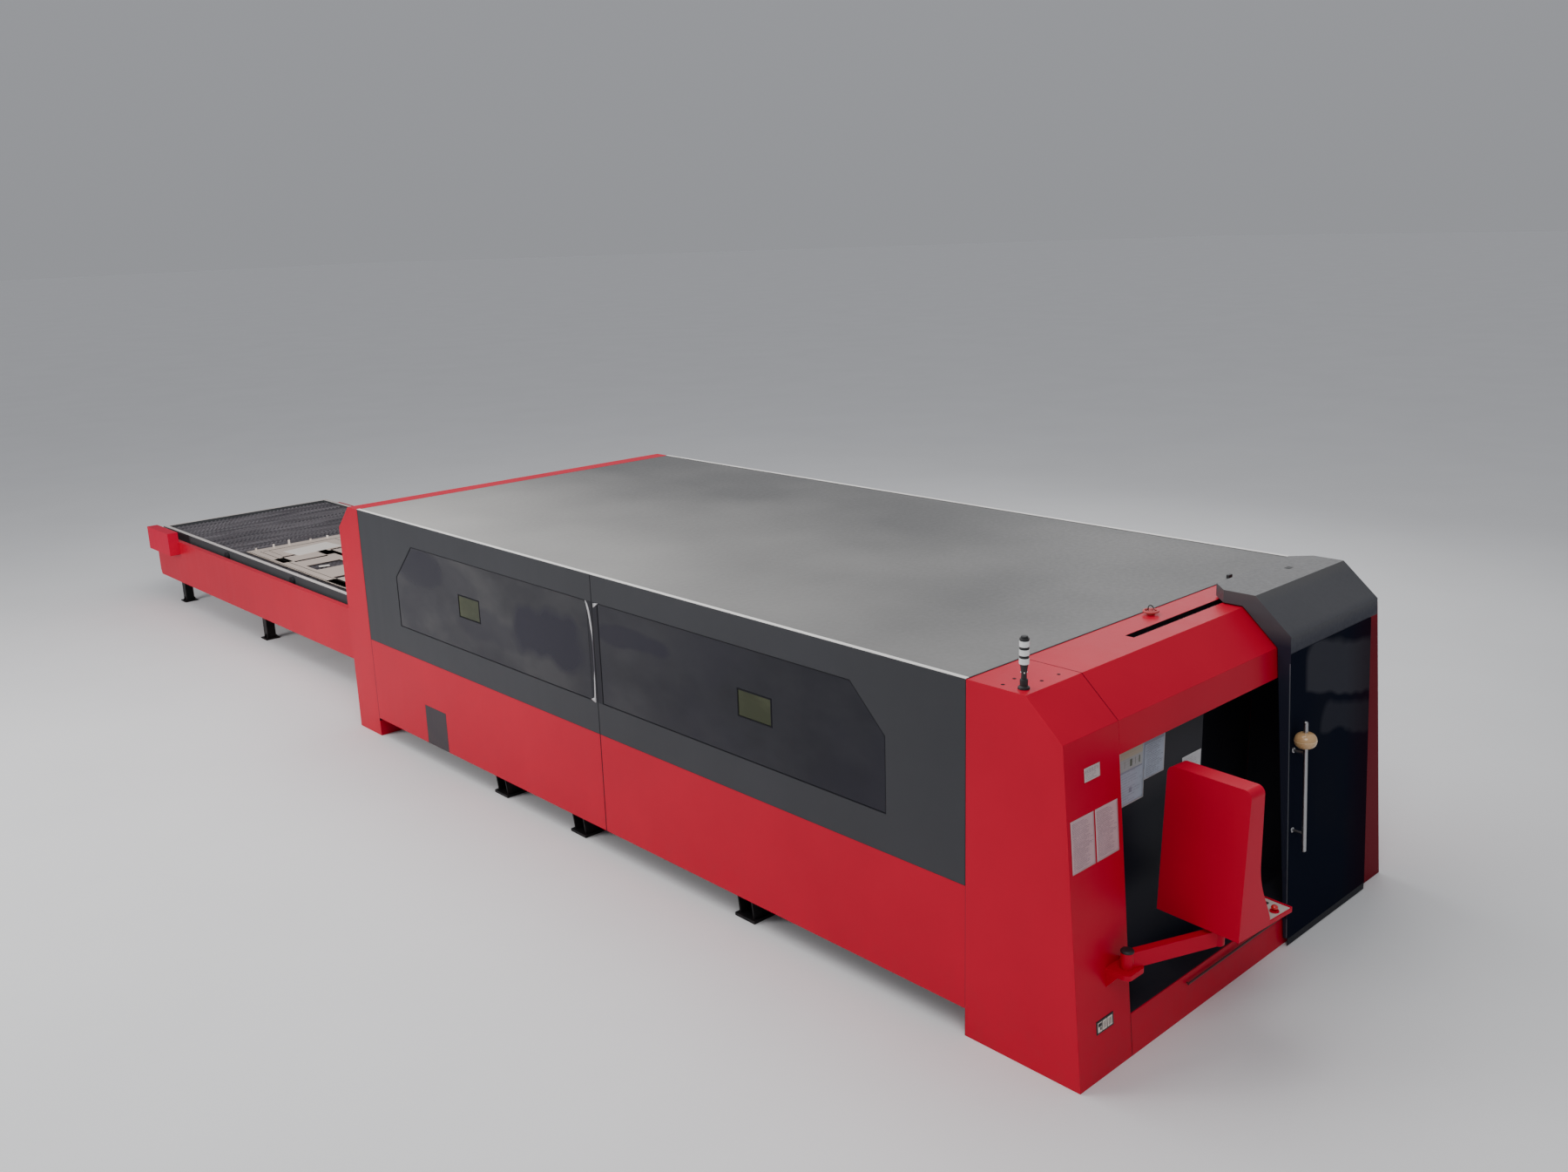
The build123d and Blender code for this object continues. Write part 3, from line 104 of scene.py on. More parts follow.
class Shader:
    """A material's node tree, with short names for the nodes it is built from."""

    def __init__(self, name="coat"):
        self.material = bpy.data.materials.new(name)
        self.material.use_nodes = True
        self.tree = self.material.node_tree
        self.tree.nodes.clear()
        output = self.tree.nodes.new("ShaderNodeOutputMaterial")
        self.bsdf = self.tree.nodes.new("ShaderNodeBsdfPrincipled")
        self.tree.links.new(self.bsdf.outputs[0], output.inputs[0])
        self.place = self.tree.nodes.new("ShaderNodeTexCoord").outputs["Object"]

    def put(self, socket, value):
        if hasattr(value, "is_output"):
            self.tree.links.new(value, socket)
        elif hasattr(value, "__len__") and len(value) == 3 and socket.type == "RGBA":
            socket.default_value = (*value, 1.0)
        else:
            socket.default_value = value

    def fill(self, node, values):
        """Sets or links a node's sockets by name; an underscore stands for a space."""
        for name, value in values.items():
            self.put(node.inputs[name.replace("_", " ")], value)

    def set(self, **values):
        self.fill(self.bsdf, values)
        return self

    def node(self, kind, output, **values):
        made = self.tree.nodes.new("ShaderNode" + kind)
        self.fill(made, values)
        return made.outputs[output]

    def stretched(self, scale):
        return self.node("Mapping", "Vector", Vector=self.place, Scale=scale)

    def noise(self, scale, detail=3.0, rough=0.55, at=None):
        place = self.place if at is None else at
        return self.node("TexNoise", "Fac", Vector=place, Scale=scale, Detail=detail, Roughness=rough)

    def cells(self, scale):
        return self.node("TexVoronoi", "Distance", Vector=self.place, Scale=scale)

    def span(self, value, low, high, out_low=0.0, out_high=1.0):
        """A value's range mapped on to another and clamped."""
        limits = {"From_Min": low, "From_Max": high, "To_Min": out_low, "To_Max": out_high}
        return self.node("MapRange", "Result", Value=value, **limits)

    def cloud(self, scale, detail=3.0, low=0.0, high=1.0):
        """Noise spread over a range of values."""
        return self.span(self.noise(scale, detail), 0.3, 0.7, low, high)

    def maths(self, kind, a, b=0.0):
        node = self.tree.nodes.new("ShaderNodeMath")
        node.operation = kind
        self.put(node.inputs[0], a)
        self.put(node.inputs[1], b)
        return node.outputs[0]

    def times(self, first, *others):
        for other in others:
            first = self.maths("MULTIPLY", first, other)
        return first

    def plus(self, first, *others):
        for other in others:
            first = self.maths("ADD", first, other)
        return first

    def minus(self, a, b):
        return self.maths("SUBTRACT", a, b)

    def axis(self, name):
        return self.node("SeparateXYZ", name, Vector=self.place)

    def join(self, x, y, z):
        return self.node("CombineXYZ", "Vector", X=x, Y=y, Z=z)

    def inside(self, value, low, high):
        return self.times(self.maths("GREATER_THAN", value, low), self.maths("LESS_THAN", value, high))

    def mix(self, factor, a, b):
        node = self.tree.nodes.new("ShaderNodeMix")
        node.data_type = "RGBA"
        self.put(node.inputs["Factor"], factor)
        self.put(node.inputs[6], a)
        self.put(node.inputs[7], b)
        return node.outputs[2]

    def bump(self, height, distance, strength=1.0):
        return self.node("Bump", "Normal", Height=height, Distance=distance, Strength=strength)

    def peel(self, depth=0.00025):
        """Orange peel of a sprayed coat."""
        return self.bump(self.noise(160.0, 2.0), depth)


def shade(colour, factor):
    return tuple(min(1.0, c * factor) for c in colour)


def painted(colour, rough=0.35, peel=0.00025, dust=0.12, metal=0.0, seams=()):
    """Powder coat or paint: faint clouding, orange peel, dust towards the floor and the shadow of joints."""
    s = Shader()
    base = s.mix(s.cloud(0.9, 4.0), shade(colour, 0.93), shade(colour, 1.07))
    low = s.span(s.axis("Z"), 0.0, 0.55, 1.0, 0.0)
    dirt = s.times(low, s.span(s.noise(14.0, 5.0), 0.42, 0.75, 0.0, dust * 3))
    base = s.mix(dirt, base, (0.11, 0.07, 0.065))
    narrow, wide_joint = (0.006, 0.0055, 0.008), (0.019, 0.0185, 0.024)
    for y, wide, low_z, high_z in seams:
        line = s.times(s.inside(s.axis("Y"), y - wide, y + wide), s.inside(s.axis("Z"), low_z, high_z))
        base = s.mix(line, base, narrow if wide < 0.01 else wide_joint)
    streak = s.noise(1.0, 6.0, 0.7, s.stretched((9.0, 9.0, 0.7)))
    s.set(Base_Color=base, Roughness=s.span(streak, 0.35, 0.7, rough - 0.015, rough + 0.03))
    return s.set(Metallic=metal, Normal=s.peel(peel), Specular_IOR_Level=0.11).material


def bare_metal(colour, rough=0.32, grain=(4.0, 900.0, 900.0)):
    """Brushed or ground metal with a fine directional grain."""
    s = Shader()
    lines = s.noise(1.0, 4.0, 0.6, s.stretched(grain))
    base = s.mix(s.span(lines, 0.3, 0.7), shade(colour, 0.82), shade(colour, 1.12))
    s.set(Base_Color=base, Metallic=1.0, Roughness=s.span(lines, 0.2, 0.8, rough - 0.06, rough + 0.12))
    return s.set(Normal=s.bump(lines, 0.0001, 0.6)).material


def moulded(colour, rough=0.5, pebble=0.00012, coat=0.0):
    """Moulded plastic or rubber with a fine pebble texture."""
    s = Shader()
    base = s.mix(s.cloud(6.0, 4.0), shade(colour, 0.9), shade(colour, 1.1))
    s.set(Base_Color=base, Roughness=s.cloud(60.0, 3.0, rough - 0.06, rough + 0.06))
    return s.set(Normal=s.bump(s.cells(900.0), pebble, 0.5), Coat_Weight=coat).material


def tinted(colour, dust_and_reflection, rough=0.06):
    """Dark gloss acrylic: a deep tint, soft paler patches that are part dust and part painted reflection, a
    hard clear surface.
    """
    s = Shader()
    broad_patches = s.noise(0.8, 5.0, 0.6, s.stretched((1.0, 1.0, 1.8)))
    smear = s.noise(2.6, 6.0, 0.7, s.stretched((1.0, 0.6, 2.2)))
    # Paler patches: part dust, part painted reflection
    dust_and_reflection_mask = s.times(s.span(broad_patches, 0.45, 0.72), s.span(smear, 0.3, 0.75))
    s.set(Base_Color=s.mix(dust_and_reflection_mask, colour, dust_and_reflection), Roughness=s.span(smear, 0.3, 0.8, rough, rough + 0.1))
    return s.set(Normal=s.bump(s.noise(1.6, 1.0), 0.002, 0.25), IOR=1.5, Specular_IOR_Level=0.16).material


def scorched():
    """Slat steel: dark scale with paler streaks, rust and spatter near the teeth."""
    s = Shader()
    streak = s.noise(1.0, 5.0, 0.6, s.stretched((1.2, 24.0, 24.0)))
    base = s.mix(s.span(streak, 0.35, 0.65), (0.115, 0.11, 0.125), (0.34, 0.32, 0.34))
    rust = s.span(s.noise(26.0, 6.0, 0.7), 0.55, 0.72, 0.0, 0.45)
    base = s.mix(rust, base, (0.1, 0.055, 0.035))
    spatter = s.span(s.cells(240.0), 0.0, 0.22, 1.0, 0.0)
    s.set(Base_Color=base, Metallic=0.45, Roughness=s.span(streak, 0.2, 0.8, 0.42, 0.62))
    return s.set(Normal=s.bump(s.plus(spatter, s.noise(120.0, 4.0)), 0.0006)).material


def window_acrylic():
    """Dark side windows with painted reflections: cloudy pale ones, strongest towards the rear, and darker
    patches.
    """
    s = Shader()

    def squared(axis, centre, size):
        return s.maths("POWER", s.maths("DIVIDE", s.minus(s.axis(axis), centre), size), 2.0)

    # Painted reflections: pale clouds over the dark tint, stronger towards the rear, and darker patches
    rear = s.span(s.axis("Y"), JUNCTION + 2.0, JUNCTION + 6.6)
    clouds = s.span(s.noise(1.5, 4.0, 0.5, s.stretched((1.0, 0.8, 1.5))), 0.4, 0.62)
    patch = s.span(s.noise(1.1, 3.0, 0.5, s.stretched((1.0, 1.0, 1.3))), 0.46, 0.6)
    dust_and_reflection = s.mix(rear, (0.018, 0.018, 0.024), (0.06, 0.058, 0.06))
    deep = s.mix(rear, (0.0095, 0.0095, 0.015), (0.03, 0.029, 0.034))
    base = s.mix(clouds, deep, dust_and_reflection)
    base = s.mix(s.times(patch, 0.45), base, (0.012, 0.011, 0.02))
    wobble = s.span(s.noise(2.8, 1.5, 0.4), 0.3, 0.7, -0.55, 0.55)
    # Each darker patch of painted reflection: distance behind the junction, height, half length, half height,
    # strength
    for y, z, wide, tall, amount in (
        (4.15, 1.6, 0.58, 0.22, 0.95), (6.05, 1.8, 0.4, 0.16, 0.6),
        (5.00, 1.5, 0.55, 0.14, 0.45), (3.15, 1.79, 0.5, 0.08, 0.7),
    ):
        reach = s.plus(squared("Y", JUNCTION + y, wide), squared("Z", z, tall), wobble)
        base = s.mix(s.span(reach, 0.65, 1.25, amount, 0.0), base, (0.0085, 0.0072, 0.019))
    rough = s.span(s.noise(2.0, 5.0), 0.3, 0.8, 0.08, 0.18)
    return s.set(Base_Color=base, Roughness=rough, Specular_IOR_Level=0.16).material


def roof_coat():
    """Smooth grey roof coat with painted light: paler towards the left edge and the rear."""
    s = Shader()
    left = s.span(s.axis("X"), -1.9, 0.9, 1.0, 0.0)
    rear = s.span(s.axis("Y"), JUNCTION + 1.0, JUNCTION + 6.5)
    # Painted light: paler towards the left edge, more so towards the rear
    pale = s.times(left, s.plus(s.times(rear, 0.75), 0.25))
    base = s.mix(s.plus(pale, s.cloud(0.5, 3.0, -0.12, 0.12)), (0.106, 0.105, 0.104), (0.4, 0.388, 0.372))
    s.set(Base_Color=base, Roughness=s.cloud(30.0, 3.0, 0.4, 0.5))
    return s.set(Normal=s.peel(0.0002), Specular_IOR_Level=0.25).material


def leaf_gloss():
    """Near-black navy gloss of the door's leaf with painted reflections: soft pale ones in its upper half,
    faint lighter blotches and a dark red one towards the right.
    """
    s = Shader()
    wobble = s.span(s.noise(3.0, 2.0, 0.4), 0.3, 0.7, -0.035, 0.035)
    slant = s.plus(s.axis("Z"), wobble, s.times(s.axis("X"), 0.26))
    # Painted reflection: faint lighter blotches over the leaf
    reflection_blotch = s.span(s.noise(1.1, 2.0, 0.4, s.stretched((1.6, 1.0, 0.9))), 0.5, 0.62, 0.0, 0.35)
    base = s.mix(reflection_blotch, (0.0085, 0.0105, 0.019), (0.013, 0.014, 0.019))
    corner = 0.16
    # Each reflection: its left edge, its lower and upper edge at X = 0, strength
    for start, low, high, amount in ((0.6, 1.83, 2.19, 0.95), (0.8, 1.58, 1.77, 0.55)):
        aside = s.maths("MAXIMUM", s.minus(start + corner, s.axis("X")), 0.0)
        above = s.maths("MAXIMUM", s.minus(slant, high - corner), 0.0)
        reach = s.maths("SQRT", s.plus(s.times(aside, aside), s.times(above, above)))
        round_corner = s.span(reach, corner - 0.03, corner + 0.02, 1.0, 0.0)
        patch = s.times(round_corner, s.span(slant, low - 0.015, low + 0.015), amount)
        base = s.mix(patch, base, (0.046, 0.047, 0.057))
    # Painted reflection of the red column, growing towards the leaf's right
    base = s.mix(s.span(s.axis("X"), 1.15, 1.5, 0.0, 0.45), base, (0.02, 0.002, 0.005))
    return s.set(Base_Color=base, Roughness=s.cloud(3.0, 5.0, 0.1, 0.2), Specular_IOR_Level=0.0).material


def niche_coat():
    """Dark fixed panel behind the console with painted shade: grey above, near-black navy below."""
    s = Shader()
    # Painted shade: grey above 1.52 m, darkening to near-black navy below 1.3 m
    base = s.mix(s.span(s.axis("Z"), 1.3, 1.52), (0.0042, 0.005, 0.0115), (0.027, 0.026, 0.032))
    return s.set(Base_Color=base, Roughness=0.45, Normal=s.peel(), Specular_IOR_Level=0.1).material


def column_red():
    """Red coat of the right column, deep in the shade on its front beside the door."""
    s = Shader()
    front = s.span(s.axis("Y"), JUNCTION - 0.66, JUNCTION - 0.6, 1.0, 0.0)
    base = s.mix(s.times(front, s.span(s.axis("Z"), 1.95, 2.0, 1.0, 0.0)), RED, (0.15, 0.0005, 0.009))
    return s.set(Base_Color=base, Roughness=0.4, Normal=s.peel(), Specular_IOR_Level=0.03).material


def hood_coat():
    """The door's coat: mid grey on the hood, falling to near-black navy on the frame below it."""
    s = Shader()
    grey = s.mix(s.span(s.axis("Z"), 2.24, 2.29), (0.075, 0.076, 0.083), (0.09, 0.089, 0.09))
    hood = s.mix(s.cloud(1.3, 4.0, 0.0, 0.25), grey, (0.035, 0.034, 0.04))
    base = s.mix(s.span(s.axis("Z"), 2.0, 2.1), (0.018, 0.02, 0.035), hood)
    s.set(Base_Color=base, Roughness=s.cloud(40.0, 3.0, 0.34, 0.44))
    return s.set(Normal=s.peel(), Specular_IOR_Level=0.2).material


def seam_glint():
    """Edge between the side windows with a painted highlight: bright at its two ends, dark along its middle.
    """
    s = Shader()
    middle = s.times(s.span(s.axis("Z"), 1.4, 1.46), s.span(s.axis("Z"), 1.68, 1.78, 1.0, 0.0))
    s.set(Base_Color=s.mix(middle, (0.5, 0.49, 0.5), (0.05, 0.045, 0.062)), Roughness=0.3)
    return s.set(Metallic=0.2, Normal=s.bump(s.noise(30.0, 2.0), 0.0004)).material


def printed(name, left, bottom, width, height, paper, ink, pitch, blocks, fill):
    """Paper with rows of grey marks that look like text from afar, and fields of tone. It has no words."""
    s = Shader(name)
    u = s.minus(s.axis("X"), left)
    v = s.minus(bottom + height, s.axis("Z"))
    rows = s.maths("DIVIDE", v, pitch)
    row = s.maths("FLOOR", rows)
    line = s.inside(s.maths("FRACT", rows), 0.22, 0.66)
    letters = s.join(s.times(u, 190.0), s.times(row, 3.7), 0.0)
    words = s.maths("GREATER_THAN", s.noise(1.0, 1.0, 0.5, letters), 0.43)
    line_end = s.join(s.times(row, 5.3), 0.0, 4.0)
    end = s.span(s.noise(1.0, 0.0, 0.5, line_end), 0.35, 0.65, width * 0.6, width * 0.93)
    margin = s.times(s.maths("GREATER_THAN", u, width * 0.07), s.maths("LESS_THAN", u, end))
    mark = s.times(line, words, margin, s.inside(v, height * 0.05, height * 0.95), fill)
    base = s.mix(mark, s.mix(s.cloud(9.0, 4.0), shade(paper, 0.92), shade(paper, 1.05)), ink)
    for u0, u1, v0, v1, colour, amount in blocks:
        base = s.mix(s.times(s.inside(u, u0, u1), s.inside(v, v0, v1), amount), base, colour)
    return s.set(Base_Color=base, Roughness=0.65, Normal=s.bump(s.noise(220.0, 3.0), 0.0001)).material


RED = (0.5, 0.0016, 0.024)
red_seams = ((SEAM_Y, 0.005, 0.0, 0.97), (CABIN_END, 0.0035, 0.15, ROOF))
grey_seams = (
    (SEAM_Y, 0.06, WINDOW_LOW, WINDOW_HIGH), (SEAM_Y, 0.005, 0.9, ROOF),
    (JUNCTION, 0.0045, 0.9, ROOF), (CABIN_END, 0.006, 0.9, ROOF),
)
mats = {
    # The material slots of the record
    "red_paint": painted(RED, 0.36, dust=0.03, seams=red_seams),
    "grey_paint": painted((0.044, 0.045, 0.05), 0.42, seams=grey_seams),
    "roof_paint": roof_coat(),
    "hood_paint": painted((0.06, 0.061, 0.064), 0.36),
    "black_paint": painted((0.008, 0.008, 0.009), 0.4, dust=0.05),
    "frame_paint": painted((0.075, 0.078, 0.082), 0.5),
    "steel": bare_metal((0.42, 0.42, 0.43)),
    "slat_steel": scorched(),
    "sheet_steel": painted((0.6, 0.5, 0.43), 0.5, 0.0001, dust=0.0, metal=0.25),
    "trim": bare_metal((0.42, 0.42, 0.41), 0.4),
    "dark_glass": window_acrylic(),
    "laser_glass": tinted((0.03, 0.035, 0.014), (0.14, 0.15, 0.08)),
    "screen": tinted((0.006, 0.007, 0.009), (0.02, 0.022, 0.026)),
    "black_plastic": moulded((0.012, 0.012, 0.013)),
    "rubber_wheel": moulded((0.02, 0.02, 0.02), 0.7),
    "grip": moulded((0.58, 0.36, 0.17), 0.25, 0.00005, 0.5),
    "lens": moulded((0.78, 0.78, 0.77), 0.3, 0.00005, 0.3),
    "stop_red": moulded((0.6, 0.008, 0.01), 0.3, 0.00003, 0.4),
    "eye": painted((0.5, 0.1, 0.1), 0.4),
    "socket": moulded((0.42, 0.38, 0.33), 0.45),
    "paper": moulded((0.55, 0.47, 0.47), 0.75, 0.0001),
    "head": bare_metal((0.5, 0.5, 0.51), 0.36, (90.0, 90.0, 90.0)),
    "copper": bare_metal((0.72, 0.36, 0.22), 0.25),
    "drive": painted((0.035, 0.055, 0.1), 0.45),
    # Coats of single nodes and of the pieces made here
    "leaf_gloss": leaf_gloss(),
    "seam_glint": seam_glint(),
    "hood_coat": hood_coat(),
    # Near-black of the dark joints; on the cabinet's inner sheets and its partition wall it is painted shade
    "dark_joint_and_shade": painted((0.03, 0.03, 0.04), 0.55, dust=0.04),
    "niche_coat": niche_coat(),
    "column_red": column_red(),
    "bed_dark": painted((0.02, 0.021, 0.025), 0.5, dust=0.05),
    "guard_red": painted((0.56, 0.0006, 0.034), 0.45, dust=0.0),
    "laminate": moulded((0.5, 0.46, 0.41), 0.4, 0.00004),
    # Pale paint along the tops of the pallets' rims: a painted highlight
    "rim_top": painted((0.62, 0.57, 0.54), 0.5, dust=0.0),
    "cream": moulded((0.66, 0.6, 0.53), 0.4, 0.00004),
    "grip_rim": moulded((0.78, 0.6, 0.36), 0.3, 0.00003, 0.3),
    # Pale paint that stands in for the highlight on the roof's trims and the tower's neck screws: a painted
    # highlight
    "bright_edge": painted((0.8, 0.78, 0.75), 0.3, 0.00005, dust=0.0),
    "bright_plate": painted((0.78, 0.72, 0.66), 0.45, 0.0001, dust=0.0, metal=0.15),
    "burn": painted((0.03, 0.024, 0.02), 0.7, dust=0.0),
    # A slightly lighter copy of the machine's red: painted light that lifts the console out of the niche's
    # shade
    "console_red": painted((0.54, 0.002, 0.028), 0.3),
    "hatch_grey": painted((0.046, 0.04, 0.046), 0.42),
    "door_rubber": moulded((0.004, 0.0048, 0.0095), 0.8),
    "seal_black": painted((0.006, 0.006, 0.009), 0.6, dust=0.0),
    "rod_dark": painted((0.115, 0.05, 0.052), 0.35, dust=0.0, metal=0.4),
    "wheel_dark": painted((0.03, 0.03, 0.034), 0.45, dust=0.0),
    "edge_line": painted((0.12, 0.13, 0.15), 0.4),
    "seam_shadow": painted((0.1, 0.006, 0.01), 0.6),
}
for name, coat in mats.items():
    coat.name = name
coat_of = {entry["node"]: entry["material_slot"] for entry in frame["record"]["subparts"]}
coat_of.update({
    "door_panel": "leaf_gloss", "door_frame": "hood_coat", "niche_panel": "niche_coat",
    # The partition wall takes the near-black of painted shade
    "partition_wall": "dark_joint_and_shade", "corner_guard": "guard_red", "hatch_plate": "hatch_grey",
    # The roof's trims take a pale paint as a painted highlight
    "front_right_column": "column_red", "roof_trims": "bright_edge", "machine_bed": "bed_dark",
    "door_guide_rod": "rod_dark", "upper_pallet_wheels": "wheel_dark", "lower_pallet_wheels": "wheel_dark",
    "console_housing": "console_red",
})
for node, thing in nodes.items():
    thing.data.materials.clear()
    thing.data.materials.append(mats[coat_of[node]])


# Mesh helpers. They fill one shared bmesh, which finish_mesh empties.
bm = bmesh.new()


def empty_into(name, material):
    """Turns what bm holds into an object."""
    data = bpy.data.meshes.new(name)
    bm.to_mesh(data)
    bm.clear()
    data.materials.append(material)
    return add_object(name, data)


def modify(piece, kind, **settings):
    modifier = piece.modifiers.new(kind.lower(), kind)
    for name, value in settings.items():
        setattr(modifier, name, value)


def finish_mesh(name, coat, body="machine", bevel=0.0, smooth=False, segments=2):
    """Makes a named piece that rides on a body; its slot is its coat's."""
    bmesh.ops.recalc_face_normals(bm, faces=bm.faces)
    piece = empty_into(name, mats[coat])
    if smooth:
        piece.data.shade_smooth()
    if bevel:
        modify(piece, "BEVEL", width=bevel, segments=segments, limit_method="ANGLE", harden_normals=smooth)
    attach(piece, body)
    return piece


def about(centre, half):
    """Limits at both sides of a centre."""
    return centre - half, centre + half


def on_side(side, near, far):
    """X limits on one side of the machine, from two distances to its middle."""
    return sorted((side * near, side * far))


def add_box(x, y, z, turn=None):
    """A box between two limits on each axis, optionally turned by a matrix."""
    made = bmesh.ops.create_cube(bm, size=1.0)["verts"]
    for v in made:
        v.co = Vector([low + (c + 0.5) * (high - low) for c, (low, high) in zip(v.co, (x, y, z))])
    if turn is not None:
        bmesh.ops.transform(bm, matrix=turn, verts=made)
    return made


def add_loop(points):
    return [bm.verts.new(point) for point in points]


def add_skin(loops, joined=False, caps=True):
    """Faces between loops of points, which join up with the first one or end in a cap."""
    for a, b in zip(loops, loops[1:] + (loops[:1] if joined else [])):
        for k in range(len(a)):
            n = (k + 1) % len(a)
            bm.faces.new((a[k], a[n], b[n], b[k]))
    if caps and not joined:
        bm.faces.new(loops[0])
        bm.faces.new(list(reversed(loops[-1])))


def circle(radius, steps, height=0.0):
    angles = [2 * pi * k / steps for k in range(steps)]
    return [Vector((radius * cos(a), radius * sin(a), height)) for a in angles]


def add_turned(profile, centre, axis=(0, 0, 1), steps=48):
    """A lathe form: (radius, height) points turned round an axis from a centre."""
    turn = Matrix.Translation(centre) @ Vector(axis).to_track_quat("Z", "Y").to_matrix().to_4x4()
    rings = []
    for radius, height in profile:
        pole = radius < 1e-6
        rings.append(add_loop([turn @ p for p in circle(radius, 1 if pole else steps, height)]))
    for low, high in zip(rings, rings[1:]):
        for k in range(steps if len(low) + len(high) > 2 else 0):
            n = (k + 1) % steps
            if len(low) == 1:
                bm.faces.new((low[0], high[k], high[n]))
            elif len(high) == 1:
                bm.faces.new((low[k], low[n], high[0]))
            else:
                bm.faces.new((low[k], low[n], high[n], high[k]))


def add_tube(path, radius, sides):
    """A round bar along a path of points, with closed ends."""
    rings = []
    for k, point in enumerate(path):
        ahead = path[min(k + 1, len(path) - 1)] - path[max(k - 1, 0)]
        turn = ahead.to_track_quat("Z", "Y").to_matrix()
        rings.append(add_loop([point + turn @ p for p in circle(radius, sides)]))
    add_skin(rings)


def add_torus(centre, radius, wire, steps, sides):
    """A round ring lying flat."""
    section = circle(wire, sides)
    rings = []
    for out in circle(1.0, steps):
        rings.append(add_loop([Vector(centre) + out * (radius + p.x) + Vector((0, 0, p.y)) for p in section]))
    add_skin(rings, joined=True)


def add_screw(centre, axis, radius, proud):
    """A low domed screw head with a socket."""
    height = radius * 0.35
    shares = ((1.0, 0.4), (0.85, 0.9), (0.55, 1.0), (0.5, 0.35), (0.0, 0.35))
    profile = [(radius, -proud)] + [(radius * r, height * h) for r, h in shares]
    add_turned(profile, Vector(centre) - Vector(axis) * height, axis, 18)


def add_key(x, y, z, depth, width, height, place):
    """A key cap with a narrower top."""
    made = add_box((x, x + depth), (y, y + width), (z, z + height))
    middle_x, middle_y = x + depth / 2, y + width / 2
    for v in made:
        if v.co.z > z + height / 2:
            v.co.x = middle_x + (v.co.x - middle_x) * 0.78
            v.co.y = middle_y + (v.co.y - middle_y) * 0.8
    bmesh.ops.transform(bm, matrix=place, verts=made)


def add_frame(outer, inner, place, thickness):
    """A flat frame between two outlines; place turns (u, v, depth) into a point."""
    sections = ((outer, 0), (inner, 0), (inner, thickness), (outer, thickness))
    add_skin([add_loop([place(u, v, d) for u, v in outline]) for outline, d in sections], joined=True)


def add_strip(path, across, width, lift):
    """A thin strip along a path: across is its width's direction, lift its thickness vector per point."""
    section = ((-1, 0), (1, 0), (1, 1), (-1, 1))
    side = Vector(across) * width / 2
    add_skin([
        add_loop([Vector(point) + side * a + Vector(up) * b for a, b in section])
        for point, up in zip(path, lift)
    ])


def rectangle(u0, u1, v0, v1, grow=0.0):
    u0, u1, v0, v1 = u0 - grow, u1 + grow, v0 - grow, v1 + grow
    return [(u0, v0), (u1, v0), (u1, v1), (u0, v1)]


def centre_of(node):
    """Centre of a CAD node in plan."""
    low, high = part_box(node)
    return (low.x + high.x) / 2, (low.y + high.y) / 2


def face_y(height, proud=0.0):
    """Y of the cabinet's slanted front at a height."""
    return JUNCTION - FOOT_DEPTH + FACE_SLOPE * height - proud


def leaf_y(height, proud=0.0):
    """Y of the door panel's outer face at a height, moved outwards by proud."""
    return JUNCTION - 0.743 - LEAF_SLOPE * (LEAF_TOP - height) - proud


# Floor and soft studio light
def studio():
    add_box((-180, 180), (-180, 180), (-0.02, -0.0005))
    s = Shader("pale_floor")
    s.set(Base_Color=s.mix(s.cloud(0.6, 4.0), (0.84, 0.84, 0.84), (0.87, 0.87, 0.87)), Roughness=0.75)
    floor = empty_into("floor", s.material)
    world = bpy.data.worlds.new("studio")
    world.use_nodes = True
    sky = world.node_tree
    height = sky.nodes.new("ShaderNodeSeparateXYZ")
    sky.links.new(sky.nodes.new("ShaderNodeTexCoord").outputs["Generated"], height.inputs[0])
    rise = sky.nodes.new("ShaderNodeMapRange")
    # The strength at the horizon matches the far floor
    for name, number in (("From Min", 0.0), ("From Max", 0.5), ("To Min", 0.347), ("To Max", 0.42)):
        rise.inputs[name].default_value = number
    sky.links.new(height.outputs["Z"], rise.inputs["Value"])
    sky.links.new(rise.outputs["Result"], sky.nodes["Background"].inputs[1])
    sky.nodes["Background"].inputs[0].default_value = (0.92, 0.94, 1.0, 1)
    bpy.context.scene.world = world
    # Each lamp: place, target, size in metres, power in watts
    lamps = {
        "key": ((-6.0, JUNCTION - 4.2, 8.0), (-0.5, JUNCTION - 0.5, 0.8), 4.5, 250.0),
        "top": ((-1.0, JUNCTION + 5.0, 9.0), (0, JUNCTION + 4.5, 1.0), 9.0, 700.0),
        "side": ((-12.0, JUNCTION + 11.0, 5.0), (0, JUNCTION + 9.5, 1.0), 6.0, 780.0),
        "far": ((9.0, JUNCTION + 5.0, 7.0), (0, JUNCTION + 5.0, 1.0), 7.0, 200.0),
    }
    for name, (place, target, size, power) in lamps.items():
        data = bpy.data.lights.new(name, "AREA")
        data.shape = "SQUARE"
        data.size = size
        data.energy = power
        lamp = add_object(name, data)
        lamp.location = place
        lamp.rotation_mode = "QUATERNION"
        lamp.rotation_quaternion = (Vector(target) - Vector(place)).to_track_quat("-Z", "Y")


def window_corners(start, end, cut, far, inset=0.0):
    """(y, z) corners of a side window, drawn in by an inset."""
    y0, y1 = JUNCTION + start + inset, JUNCTION + end - inset
    z0, z1 = WINDOW_LOW + inset, WINDOW_HIGH - inset
    small = cut - inset * (2 - sqrt(2))
    if far:
        return [(y0, z0), (y1, z0), (y1, z1 - small), (y1 - small, z1), (y0, z1)]
    return [(y0, z0), (y1, z0), (y1, z1), (y0 + small, z1), (y0, z1 - small)]
